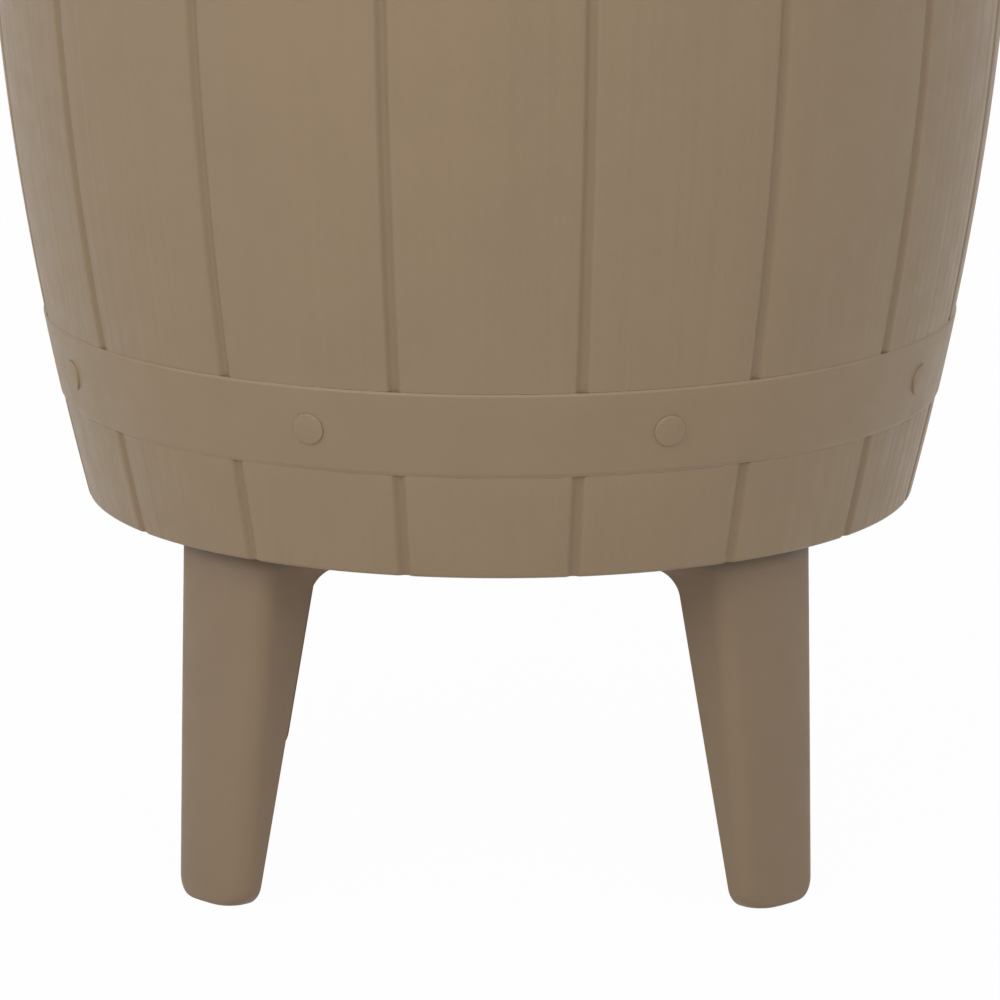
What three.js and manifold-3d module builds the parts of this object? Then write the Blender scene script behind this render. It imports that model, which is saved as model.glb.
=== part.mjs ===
// A barrel-shaped cooler table in moulded resin. The tabletop is the lid of an ice bucket: it rises on
// a column that stands in the bucket, and a twist locks it down or up.
// Millimetres, +Z up. The origin is on the floor under the middle of the barrel, and -Y is the front.

import * as THREE from "three";
import { mergeVertices } from "three/addons/utils/BufferGeometryUtils.js";
import Module from "manifold-3d";

const wasm = await Module();
wasm.setup();

// Fits that all pieces share
const seat = 0.3; // gap between two faces that rest on each other
const running = 0.3; // gap between two faces that slide or turn past each other
const overrun = 2; // how far a cut runs past the face that it opens
const weld = 0.001; // vertices closer than this are one vertex

// Barrel: sizes measured from its underside
const legHeight = 165; // floor to the underside of the barrel
const barrelHeight = 366; // underside to the top edge of the staves
const footRadius = 190.5; // staves at the underside
const bellyRadius = 234.4; // staves at their widest
const bellyHeight = 318; // underside to the widest place
const bulgePower = 1.84; // how fast the staves draw in below the belly
const barrelWall = 3.6;
const rimRound = 2; // rounding of the lower edge
const staveCount = 16;
const staveTurn = -0.43; // degrees that the grooves and the rivets are turned against the legs
const grooveWidth = 4.3;
const grooveDepth = 1.6;
const hoopWidth = 39.2;
const hoopProud = 0.7;
const lowerHoopHeight = 47.9; // underside of the barrel to the lower edge of the lower hoop
const upperHoopDrop = 26; // top edge of the staves to the upper edge of the upper hoop
const rivetRadius = 7;
const rivetProud = 1.2;
const rivetRound = 0.4; // chamfer round the rivet's face
const rivetsPerHoop = 8;

// Inner bucket
const bucketWall = 2.6;
const bucketFloor = 3;
const airGap = 27; // insulating air between the bucket and the staves
const bucketRise = 38; // barrel floor to the underside of the bucket
const bucketCorner = 14; // rounding between the bucket's wall and floor
const flangeThickness = 4; // flange that hangs the bucket on the barrel's top edge
const locatingDepth = 6; // ring under the flange that centres the bucket in the barrel
const locatingWall = 2.5;

// Drain: a threaded spout on the bucket and a screw cap under the barrel
const drainSetback = 115; // axis of the barrel to the axis of the spout
const spoutBore = 8;
const spoutWall = 3;
const spoutDrop = 14; // how far the spout reaches below the barrel
const spoutPlay = 0.6; // gap round the spout in the barrel's floor
const capWall = 3;
const capGrip = 8; // height of the spout that the cap screws over
const capLobes = 8;
const lobeRadius = 3;
const washerThickness = 2;

// Screws, all of one thread size, with heads for where they sit
const screwRadius = 2;
const screwHeadRadius = 4;
const screwHeadHeight = 2.6;
const screwBite = 9; // thread held by a boss
const columnScrewBite = 18; // thread held by a boss under the column
const bossWall = 3.5; // material round a screw hole

// Guide column, which stands on the bucket's floor
const tubeRadius = 25.5; // outside of the lift tube
const tubeWall = 2.5;
const columnPlay = 0.8; // gap between the lift tube and the column's bore
const channelDepth = 3;
const columnWall = 3.7; // wall behind the channels
const columnFlangeWidth = 22; // flange beyond the column's wall
const columnFlangeThickness = 5;
const columnScrewCount = 4;
const gasketThickness = 2;
const collarThickness = 4; // collar above the column's top edge
const collarWall = 2.7;
const collarSkirt = 13;

// Foot of the lift tube, with the lugs that lock, and the keyed ring above them
const lugWidth = 9;
const lugHeight = 12;
const lockPlay = 1;
const lockTurn = Math.PI / 6; // the twist that locks
const ringHeight = 10;
const spigotHeight = 13; // part of the foot that fills the tube's end
const footWall = 4.5;
const footClearance = 11.5; // space under the foot when the lid is closed

// Lid pan under the tabletop
const plateThickness = 3.5;
const hubDrop = 12; // how far the hub and the spigot hang below the plate
const hubRise = 16; // how far the hub stands above the plate
const hubWall = 5.5;
const hubCap = 3;
const hubGap = 2; // hub to the collar when the lid is closed
const spigotWall = 3;
const spigotLip = 2;
const lidGasketWidth = 3.2;
const lidGasketPlay = 0.6; // gap between the gasket and the bucket's wall
const upstandWall = 3.5;
const ribThickness = 2.6;
const ribCount = 6;

// Tabletop deck
const deckRadius = 247.5;
const deckSkin = 4;
const deckSkirt = 4.5; // wall of the skirt round the lid pan
const deckRise = 24.4; // hollow between the lid pan's plate and the deck's skin
const deckRimRaise = 2.5; // rim above the planks
const deckRimWidth = 17;
const deckEdgeRound = 6;
const skirtOverlap = 2.6; // how far the skirt hangs below the lid pan
const plankCount = 7;
const plankGrooveWidth = 3;
const plankGrooveDepth = 1.5;
const deckScrewCount = 6;
const deckScrewCircle = 150; // axis to the deck screws

// Legs
const legAngles = { front_left: -135, front_right: -45, rear_left: 135, rear_right: 45 };
const legTopRadius = 177.5; // barrel axis to the outer face at the top of a leg
const legFootRadius = 186.6; // and at its foot
const legFaceRadius = 85; // curve of the outer face, seen from above
const legTopHalfWidth = 30.3;
const legFootHalfWidth = 22.6;
const legTopDepth = 35.5; // outer face to the back edge of the side walls, without the flare
const legFootDepth = 12.8;
const legCorner = 9.5; // rounding between the outer face and the side walls
const legWall = 3.4;
const legSole = 7; // solid foot under the lowest pocket
const legFlare = 10.7; // radius of the flare into the shoe
const legShoe = 12.3; // height of the shoe, from the flare to the barrel
const backFlareShare = 0.25; // share of the flare that the back edges take sideways
const legPlate = 3.6; // plate at the top of a leg
const legPocketCount = 3;
const legRib = 2.6;
const footRound = 9.2; // rounding of the foot's side corners
const soleRound = 2; // rounding of the foot's outer edge
const tabLength = 24; // tab behind the leg, which takes the screws
const tabScrewSpread = 13; // middle of the tab to a screw
const pegRadius = 5;
const pegHeight = 3;

// Facets round a full turn
const wideFacets = 48;
const tubeFacets = 32;
const smallFacets = 16;
const bossFacets = 8;
const screwFacets = 8;

// Heights that follow from the sizes above
const barrelBottom = legHeight;
const barrelTop = barrelBottom + barrelHeight;
const barrelFloorTop = barrelBottom + barrelWall;
const bucketUnderside = barrelFloorTop + bucketRise;
const bucketFloorTop = bucketUnderside + bucketFloor;
const flangeUnderside = barrelTop + seat;
const flangeTop = flangeUnderside + flangeThickness;
const plateUnderside = flangeTop + seat;
const plateTop = plateUnderside + plateThickness;
const hubBottom = plateUnderside - hubDrop;
const hubTop = plateTop + hubRise;
const skinUnderside = plateTop + deckRise;
const plankTop = skinUnderside + deckSkin;
const deckTop = plankTop + deckRimRaise;
const collarTop = hubBottom - hubGap;
const columnTop = collarTop - collarThickness - seat;
const gasketBottom = bucketFloorTop + seat;
const columnBottom = gasketBottom + gasketThickness + seat;
const lugBottom = columnBottom + footClearance;
const lugTop = lugBottom + lugHeight;
const ringBottom = lugTop + running;
const ringTop = ringBottom + ringHeight;
const tubeBottom = ringTop + running;
const tubeTop = hubTop - hubCap - seat;
const lift = columnTop - lockPlay - ringTop; // how far the tabletop rises

// Radii that follow from the sizes above
const tubeBore = tubeRadius - tubeWall;
const neckRadius = tubeBore - seat;
const columnBore = tubeRadius + columnPlay;
const channelRadius = columnBore + channelDepth;
const columnRadius = channelRadius + columnWall;
const columnFlangeRadius = columnRadius + columnFlangeWidth;
const columnScrewCircle = columnRadius + columnFlangeWidth / 2;
const glideRadius = columnBore - running;
const lugRadius = channelRadius - running;
const screwHole = screwRadius + seat;
const bossRadius = screwHole + bossWall;
const spoutRadius = spoutBore + spoutWall;
const capBore = spoutRadius + running;
const capRadius = capBore + capWall;
const panRadius = deckRadius - deckSkirt - seat;

// Colours
const taupe = "#8d7c66";
const taupeTop = "#927f68";
const bucketGrey = "#cfc9be";
const gasketBlack = "#2b2a28";
const screwSteel = "#b9b8b4";

// Distance from the axis to the face of the staves at a height above the floor.
function staveRadius(z) {
  const share = Math.abs(barrelBottom + bellyHeight - z) / bellyHeight;
  return bellyRadius - (bellyRadius - footRadius) * share ** bulgePower;
}

const flangeRadius = staveRadius(barrelTop);
const mouthOuter = flangeRadius - barrelWall - airGap;
const mouthInner = mouthOuter - bucketWall;
const baseOuter = staveRadius(bucketUnderside) - barrelWall - airGap;
const baseInner = baseOuter - bucketWall;

// Inner radius of the bucket's straight wall at a height.
function bucketRadius(z) {
  const share = (z - bucketUnderside) / (flangeTop - bucketUnderside);
  return baseInner + (mouthInner - baseInner) * share;
}

const lidGasketBottom = hubBottom + spigotLip + seat;
const lidGasketTop = plateUnderside - spigotLip;
const lidGasketRadius = bucketRadius(lidGasketBottom) - lidGasketPlay;
const spigotRadius = lidGasketRadius - lidGasketWidth - seat;

// A closed geometry as a solid, with its shared vertices merged and its empty triangles dropped.
function solidOf(geometry) {
  const bare = geometry.index ? geometry.toNonIndexed() : geometry.clone();
  bare.deleteAttribute("normal");
  bare.deleteAttribute("uv");
  const merged = mergeVertices(bare, weld);
  const corners = merged.index.array;
  const kept = [];
  for (let i = 0; i < corners.length; i += 3) {
    const [a, b, c] = [corners[i], corners[i + 1], corners[i + 2]];
    if (a !== b && b !== c && c !== a) kept.push(a, b, c);
  }
  const vertProperties = merged.attributes.position.array;
  return new wasm.Manifold(new wasm.Mesh({ numProp: 3, vertProperties, triVerts: new Uint32Array(kept) }));
}

// A solid as a geometry, with flat shading normals.
function geometryOf(solid) {
  const { vertProperties, triVerts } = solid.getMesh();
  const indexed = new THREE.BufferGeometry();
  indexed.setAttribute("position", new THREE.BufferAttribute(new Float32Array(vertProperties), 3));
  indexed.setIndex(new THREE.BufferAttribute(new Uint32Array(triVerts), 1));
  const geometry = indexed.toNonIndexed();
  geometry.computeVertexNormals();
  return geometry;
}

// A profile of [radius, height] pairs turned round the Z axis.
function revolve(profile, facets) {
  const points = profile.map(([radius, z]) => new THREE.Vector2(radius, z));
  if (THREE.ShapeUtils.area(points) < 0) points.reverse();
  if (points[0].x > 0 || points[points.length - 1].x > 0) points.push(points[0].clone());
  return solidOf(new THREE.LatheGeometry(points, facets).rotateX(Math.PI / 2));
}

// A solid cylinder on the Z axis.
function cylinder(radius, bottom, top, facets) {
  return revolve([[0, bottom], [radius, bottom], [radius, top], [0, top]], facets);
}

// A ring with a square section on the Z axis.
function ring(inner, outer, bottom, top, facets) {
  return revolve([[inner, bottom], [outer, bottom], [outer, top], [inner, top]], facets);
}

// A box between two corners.
function box([x0, y0, z0], [x1, y1, z1]) {
  const geometry = new THREE.BoxGeometry(x1 - x0, y1 - y0, z1 - z0);
  return solidOf(geometry.translate((x0 + x1) / 2, (y0 + y1) / 2, (z0 + z1) / 2));
}

// A solid on the Z axis, laid so that it points outward from the axis at an angle and a height.
function radial(solid, angle, z) {
  return solid.rotate([0, 90, THREE.MathUtils.radToDeg(angle)]).translate([0, 0, z]);
}

// Angles of equal places round a turn.
function turns(count, first = 0) {
  return Array.from({ length: count }, (_, i) => first + (2 * Math.PI * i) / count);
}

// The point at a radius and an angle, as x and y.
function polar(radius, angle) {
  return [radius * Math.cos(angle), radius * Math.sin(angle)];
}

// Closed rings of points, all of one count and each star-shaped, joined from the lowest to the highest.
function loft(rings) {
  const positions = [];
  const face = (...corners) => corners.forEach((p) => positions.push(p.x, p.y, p.z));
  for (let k = 0; k + 1 < rings.length; k += 1) {
    const [low, high] = [rings[k], rings[k + 1]];
    low.forEach((a, i) => {
      const j = (i + 1) % low.length;
      face(a, low[j], high[j]);
      face(a, high[j], high[i]);
    });
  }
  const middle = (points) =>
    points.reduce((sum, p) => sum.add(p), new THREE.Vector3()).divideScalar(points.length);
  const [bottom, top] = [rings[0], rings[rings.length - 1]];
  const [bottomMiddle, topMiddle] = [middle(bottom), middle(top)];
  bottom.forEach((a, i) => face(bottomMiddle, bottom[(i + 1) % bottom.length], a));
  top.forEach((a, i) => face(topMiddle, a, top[(i + 1) % top.length]));
  const geometry = new THREE.BufferGeometry();
  geometry.setAttribute("position", new THREE.BufferAttribute(new Float32Array(positions), 3));
  return solidOf(geometry);
}

// A screw on the Z axis, its head below z = 0 and its shank above.
function screw(length, facets = screwFacets) {
  return revolve(
    [
      [0, -screwHeadHeight],
      [screwHeadRadius, -screwHeadHeight],
      [screwHeadRadius, 0],
      [screwRadius, 0],
      [screwRadius, length],
      [0, length],
    ],
    facets,
  );
}

// Places of the two screws and the peg of a leg, for a leg that points along +X.
const legBack = legTopRadius - legTopDepth - legFlare;
const tabScrewX = legBack - tabLength / 2;
const pegX = legTopRadius - legTopDepth / 2;
const tabScrews = [-tabScrewSpread, tabScrewSpread];

// The point [x, y] of a leg that points along +X, turned to the leg's own angle.
function atLeg(degrees, x, y) {
  const point = new THREE.Vector2(x, y).rotateAround(new THREE.Vector2(), THREE.MathUtils.degToRad(degrees));
  return [point.x, point.y];
}

// Angle of the middle of the stave at the front.
const staveFront = -Math.PI / 2 + THREE.MathUtils.degToRad(staveTurn);

// One ring of the staves: each stave has a groove beside it and a gently rounded face.
function staveRing(z, radius, depth) {
  const points = [];
  const half = grooveWidth / 2;
  const pitch = (2 * Math.PI) / staveCount;
  const facePoints = 2;
  turns(staveCount, staveFront + pitch / 2).forEach((groove) => {
    const edge = half / radius;
    const bottom = (half - Math.min(depth, half) / 2) / radius;
    const corners = [
      [groove - edge, radius],
      [groove - bottom, radius - depth],
      [groove + bottom, radius - depth],
      [groove + edge, radius],
    ];
    for (let i = 1; i <= facePoints; i += 1) {
      corners.push([groove + edge + ((pitch - 2 * edge) * i) / (facePoints + 1), radius]);
    }
    corners.forEach(([angle, r]) => points.push(new THREE.Vector3(...polar(r, angle), z)));
  });
  return points;
}

// The staves and both hoops as one solid block, before it is hollowed.
function staveBlock() {
  const plain = (z) => staveRing(z, staveRadius(z), grooveDepth);
  const hooped = (z) => staveRing(z, staveRadius(z) + hoopProud, 0);
  const lower = barrelBottom + lowerHoopHeight;
  const upper = barrelTop - upperHoopDrop;
  const rings = [];
  const roundSteps = 3;
  for (let i = 0; i < roundSteps; i += 1) {
    const angle = (Math.PI / 2) * (i / roundSteps);
    const drawnIn = rimRound * (1 - Math.sin(angle));
    const z = barrelBottom + rimRound * (1 - Math.cos(angle));
    rings.push(staveRing(z, staveRadius(z) - drawnIn, grooveDepth));
  }
  rings.push(plain(barrelBottom + rimRound));
  rings.push(plain(lower), hooped(lower), hooped(lower + hoopWidth), plain(lower + hoopWidth));
  const steps = 5;
  for (let i = 1; i < steps; i += 1) {
    const z = THREE.MathUtils.lerp(lower + hoopWidth, upper - hoopWidth, i / steps);
    rings.push(plain(z));
  }
  rings.push(plain(upper - hoopWidth), hooped(upper - hoopWidth), hooped(upper), plain(upper));
  rings.push(plain(barrelTop));
  return loft(rings);
}

// A flat rivet head on the Z axis, sunk into the hoop.
function rivetHead() {
  const sunk = barrelWall / 2;
  return revolve(
    [
      [0, -sunk],
      [rivetRadius, -sunk],
      [rivetRadius, rivetProud - rivetRound],
      [rivetRadius - rivetRound, rivetProud],
      [0, rivetProud],
    ],
    smallFacets / 2,
  );
}

// Outer shell: staves, hoops, rivets and floor in one moulding.
function barrel() {
  const hollow = [[0, barrelFloorTop]];
  const steps = 5;
  for (let i = 0; i <= steps; i += 1) {
    const z = THREE.MathUtils.lerp(barrelFloorTop, barrelTop, i / steps);
    hollow.push([staveRadius(z) - barrelWall, z]);
  }
  hollow.push([staveRadius(barrelTop) - barrelWall, barrelTop + overrun], [0, barrelTop + overrun]);
  let shell = staveBlock().subtract(revolve(hollow, wideFacets));

  const hoopMiddles = [
    barrelBottom + lowerHoopHeight + hoopWidth / 2,
    barrelTop - upperHoopDrop - hoopWidth / 2,
  ];
  for (const z of hoopMiddles) {
    const slope = (staveRadius(z + weld) - staveRadius(z - weld)) / (2 * weld);
    const lean = THREE.MathUtils.radToDeg(Math.atan(slope));
    for (const angle of turns(rivetsPerHoop, staveFront + Math.PI / rivetsPerHoop)) {
      const head = rivetHead().rotate([0, lean, 0]).translate([0, 0, staveRadius(z) + hoopProud]);
      shell = shell.add(radial(head, angle, z));
    }
  }

  const bossFoot = barrelFloorTop - barrelWall / 2;
  const columnBoss = cylinder(bossRadius, bossFoot, bucketUnderside - seat, bossFacets);
  for (const angle of turns(columnScrewCount, Math.PI / columnScrewCount)) {
    const [x, y] = polar(columnScrewCircle, angle);
    shell = shell.add(columnBoss.translate([x, y, 0]));
    const pilotBottom = bucketUnderside - seat - columnScrewBite - overrun;
    shell = shell.subtract(
      cylinder(screwHole, pilotBottom, bucketUnderside + overrun, screwFacets).translate([x, y, 0]),
    );
  }
  for (const degrees of Object.values(legAngles)) {
    const legBossTop = barrelFloorTop + screwBite + overrun + bossWall;
    const legBoss = cylinder(bossRadius, bossFoot, legBossTop, bossFacets);
    const legPilot = cylinder(screwHole, barrelBottom - overrun, legBossTop - bossWall, screwFacets);
    for (const y of tabScrews) {
      const [bx, by] = atLeg(degrees, tabScrewX, y);
      shell = shell.add(legBoss.translate([bx, by, 0])).subtract(legPilot.translate([bx, by, 0]));
    }
    const [px, py] = atLeg(degrees, pegX, 0);
    const pegHole = cylinder(pegRadius + seat, barrelBottom - overrun, barrelFloorTop + overrun, bossFacets);
    shell = shell.subtract(pegHole.translate([px, py, 0]));
  }
  const holeRadius = spoutRadius + spoutPlay;
  const drainHole = cylinder(holeRadius, barrelBottom - overrun, barrelFloorTop + overrun, smallFacets);
  return shell.subtract(drainHole.translate([0, drainSetback, 0]));
}

// Bucket with its hanging flange, its centring ring and the drain spout.
function innerBucket() {
  const barrelMouth = staveRadius(barrelTop) - barrelWall;
  const ringOuter = barrelMouth - running;
  const cornerSteps = 3;
  const outside = [];
  const inside = [];
  for (let i = 0; i <= cornerSteps; i += 1) {
    const angle = (Math.PI / 2) * (i / cornerSteps);
    const inward = bucketCorner * (1 - Math.sin(angle));
    const rise = bucketCorner * (1 - Math.cos(angle));
    outside.push([baseOuter - inward, bucketUnderside + rise]);
    inside.unshift([baseInner - inward, bucketFloorTop + rise]);
  }
  let bucket = revolve(
    [
      [0, bucketUnderside],
      ...outside,
      [mouthOuter, flangeUnderside],
      [ringOuter - locatingWall, flangeUnderside],
      [ringOuter - locatingWall, flangeUnderside - locatingDepth],
      [ringOuter, flangeUnderside - locatingDepth],
      [ringOuter, flangeUnderside],
      [flangeRadius, flangeUnderside],
      [flangeRadius, flangeTop],
      [mouthInner, flangeTop],
      ...inside,
      [0, bucketFloorTop],
    ],
    wideFacets,
  );
  const spoutEnd = barrelBottom - spoutDrop;
  const spout = cylinder(spoutRadius, spoutEnd, bucketUnderside + bucketFloor / 2, smallFacets);
  const bore = cylinder(spoutBore, spoutEnd - overrun, bucketFloorTop + overrun, smallFacets);
  bucket = bucket.add(spout.translate([0, drainSetback, 0])).subtract(bore.translate([0, drainSetback, 0]));
  return bucket.subtract(columnScrewHoles(bucketUnderside - overrun, bucketFloorTop + overrun));
}

// Four holes for the column screws between two heights.
function columnScrewHoles(bottom, top) {
  const hole = cylinder(screwHole, bottom, top, screwFacets);
  return turns(columnScrewCount, Math.PI / columnScrewCount)
    .map((angle) => hole.translate([...polar(columnScrewCircle, angle), 0]))
    .reduce((all, next) => all.add(next));
}

// Rubber ring under the column's flange.
function columnGasket() {
  const top = gasketBottom + gasketThickness;
  return ring(columnBore, columnFlangeRadius, gasketBottom, top, tubeFacets).subtract(
    columnScrewHoles(gasketBottom - overrun, top + overrun),
  );
}

// A bar across the axis, as wide as a lug or a key and its play, cut round at a radius.
function crossBar(width, radius, bottom, top, alongX) {
  const reach = radius + overrun;
  const [x, y] = alongX ? [reach, width / 2] : [width / 2, reach];
  return box([-x, -y, bottom], [x, y, top]).intersect(
    cylinder(radius, bottom - overrun, top + overrun, tubeFacets * 2),
  );
}

// The space that a lug sweeps in its pocket as it turns clockwise to lock, seen from above.
function lockPocket(bottom, top) {
  const halfAngle = Math.asin((lugWidth / 2 + running) / columnBore);
  const sector = (middle) => {
    const shape = new THREE.Shape();
    const end = middle - lockTurn - halfAngle;
    shape.moveTo(0, 0);
    shape.lineTo(...polar(channelRadius, end));
    shape.absarc(0, 0, channelRadius, end, middle, false);
    shape.closePath();
    const geometry = new THREE.ExtrudeGeometry(shape, {
      depth: top - bottom,
      bevelEnabled: false,
      curveSegments: smallFacets,
    });
    return solidOf(geometry.translate(0, 0, bottom));
  };
  return sector(-Math.PI / 2).add(sector(Math.PI / 2));
}

// Column with two lug channels, two key channels and a lock pocket at each end of the lug channels.
function guideColumn() {
  const flangeTopZ = columnBottom + columnFlangeThickness;
  const body = revolve(
    [
      [columnBore, columnBottom],
      [columnFlangeRadius, columnBottom],
      [columnFlangeRadius, flangeTopZ],
      [columnRadius, flangeTopZ],
      [columnRadius, columnTop],
      [columnBore, columnTop],
    ],
    tubeFacets,
  );
  const cutBottom = columnBottom - overrun;
  const cutTop = columnTop + overrun;
  const channelWidth = lugWidth + 2 * running;
  return body
    .subtract(crossBar(channelWidth, channelRadius, cutBottom, cutTop, true))
    .subtract(crossBar(channelWidth, channelRadius, cutBottom, cutTop, false))
    .subtract(lockPocket(cutBottom, lugTop + lockPlay))
    .subtract(lockPocket(lugBottom + lift - lockPlay, lugTop + lift + lockPlay))
    .subtract(columnScrewHoles(cutBottom, flangeTopZ + overrun))
    .subtract(collarScrewPilots());
}

// Blind holes in the column's wall for the collar screws.
function collarScrewPilots() {
  const end = columnRadius - collarScrewBite - seat;
  const pilot = cylinder(screwHole, end, columnRadius + overrun, screwFacets);
  return collarScrewAngles
    .map((angle) => radial(pilot, angle, collarScrewHeight))
    .reduce((all, next) => all.add(next));
}

// Collar on the column's top edge: it guides the tube and stops the keys.
function columnCollar() {
  const skirtInner = columnRadius + running;
  const outer = skirtInner + collarWall;
  const underside = columnTop + seat;
  const collar = revolve(
    [
      [tubeRadius + running, underside],
      [skirtInner, underside],
      [skirtInner, underside - collarSkirt],
      [outer, underside - collarSkirt],
      [outer, collarTop],
      [tubeRadius + running, collarTop],
    ],
    tubeFacets,
  );
  const hole = cylinder(screwHole, columnRadius - overrun, outer + overrun, screwFacets);
  const holes = collarScrewAngles
    .map((angle) => radial(hole, angle, collarScrewHeight))
    .reduce((all, next) => all.add(next));
  return collar.subtract(holes);
}

// Screw through the collar's skirt into the column's wall, pointing inward from its head.
function collarScrew() {
  const outer = columnRadius + running + collarWall;
  const length = outer + seat - columnRadius + collarScrewBite;
  return screw(length).rotate([180, 0, 0]).translate([0, 0, outer + seat]);
}

// Foot that plugs the tube's lower end, with two lugs.
function tubeFoot() {
  const bore = neckRadius - footWall;
  const top = tubeBottom + spigotHeight;
  const body = revolve(
    [
      [bore, lugBottom],
      [glideRadius, lugBottom],
      [glideRadius, lugTop],
      [neckRadius, lugTop],
      [neckRadius, top],
      [bore, top],
    ],
    tubeFacets,
  );
  const lugs = crossBar(lugWidth, lugRadius, lugBottom, lugTop, false).subtract(
    cylinder(bore, lugBottom - overrun, lugTop + overrun, tubeFacets),
  );
  return body.add(lugs).subtract(crossHoles(footScrewHeight, tubeRadius + overrun));
}

// Ring that slides up and down on two keys and lets the tube turn inside it.
function glideRing() {
  const bore = neckRadius + running;
  const keys = crossBar(lugWidth, lugRadius, ringBottom, ringTop, true).subtract(
    cylinder(bore, ringBottom - overrun, ringTop + overrun, tubeFacets),
  );
  return ring(bore, glideRadius, ringBottom, ringTop, tubeFacets).add(keys);
}

// A hole through the tube along X, for the two screws at a height.
function crossHoles(z, reach) {
  return cylinder(screwHole, -reach, reach, screwFacets).rotate([0, 90, 0]).translate([0, 0, z]);
}

// Collar screws stand where the column's wall is whole, away from its channels and pockets.
const collarScrewAngles = [-Math.PI / 4, (3 * Math.PI) / 4];
const collarScrewHeight = columnTop + seat - collarSkirt / 2;
const collarScrewBite = (columnRadius - columnBore) * 0.6;

const footScrewHeight = tubeBottom + spigotHeight / 2;
const hubScrewHeight = (hubBottom + plateUnderside) / 2;

// Tube that carries the tabletop.
function liftTube() {
  return ring(tubeBore, tubeRadius, tubeBottom, tubeTop, tubeFacets)
    .subtract(crossHoles(footScrewHeight, tubeRadius + overrun))
    .subtract(crossHoles(hubScrewHeight, tubeRadius + overrun));
}

// Headless screw that pins the foot in the tube, flush with the tube's face.
function footScrew() {
  return cylinder(screwRadius, tubeBore - footWall, tubeRadius - seat, screwFacets);
}

// Screw through the hub's wall and the tube's wall, pointing inward from its head.
function hubScrew() {
  const length = hubWall + tubeWall + seat + running;
  return screw(length).rotate([180, 0, 0]).translate([0, 0, tubeRadius + seat + hubWall + seat]);
}

// Pan that closes the bucket: plate, hub, spigot, upstand, ribs and screw bosses.
function lidPan() {
  const hubInner = tubeRadius + seat;
  const hubOuter = hubInner + hubWall;
  const spigotInner = spigotRadius - spigotWall;
  const upstandTop = skinUnderside - seat;
  let pan = revolve(
    [
      [hubInner, hubBottom],
      [hubOuter, hubBottom],
      [hubOuter, plateUnderside],
      [spigotInner, plateUnderside],
      [spigotInner, hubBottom],
      [spigotRadius + spigotLip, hubBottom],
      [spigotRadius + spigotLip, hubBottom + spigotLip],
      [spigotRadius, hubBottom + spigotLip],
      [spigotRadius, plateUnderside],
      [panRadius, plateUnderside],
      [panRadius, upstandTop],
      [panRadius - upstandWall, upstandTop],
      [panRadius - upstandWall, plateTop],
      [hubOuter, plateTop],
      [hubOuter, hubTop],
      [0, hubTop],
      [0, hubTop - hubCap],
      [hubInner, hubTop - hubCap],
    ],
    wideFacets,
  );
  const rib = box(
    [hubOuter - hubWall / 2, -ribThickness / 2, plateTop - plateThickness / 2],
    [panRadius - upstandWall / 2, ribThickness / 2, hubTop],
  );
  for (const angle of turns(ribCount, Math.PI / ribCount)) {
    pan = pan.add(rib.rotate([0, 0, THREE.MathUtils.radToDeg(angle)]));
  }
  const bossTop = plateTop + deckRise / 2;
  const headHole = screwHeadRadius + seat;
  const boss = cylinder(headHole + bossWall, plateTop - plateThickness / 2, bossTop, bossFacets);
  const hole = cylinder(screwHole, plateUnderside, bossTop + overrun, screwFacets).add(
    cylinder(headHole, plateUnderside - overrun, deckScrewSeat, screwFacets),
  );
  for (const angle of turns(deckScrewCount)) {
    const [x, y] = polar(deckScrewCircle, angle);
    pan = pan.add(boss.translate([x, y, 0])).subtract(hole.translate([x, y, 0]));
  }
  return pan.subtract(crossHoles(hubScrewHeight, hubOuter + overrun));
}

// Height of the underside of a deck screw's head seat, inside its boss.
const deckScrewSeat = plateTop + screwHeadHeight;

// Rubber ring on the spigot, which closes on the bucket's wall.
function lidGasket() {
  return ring(spigotRadius + seat, lidGasketRadius, lidGasketBottom, lidGasketTop, wideFacets);
}

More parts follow.
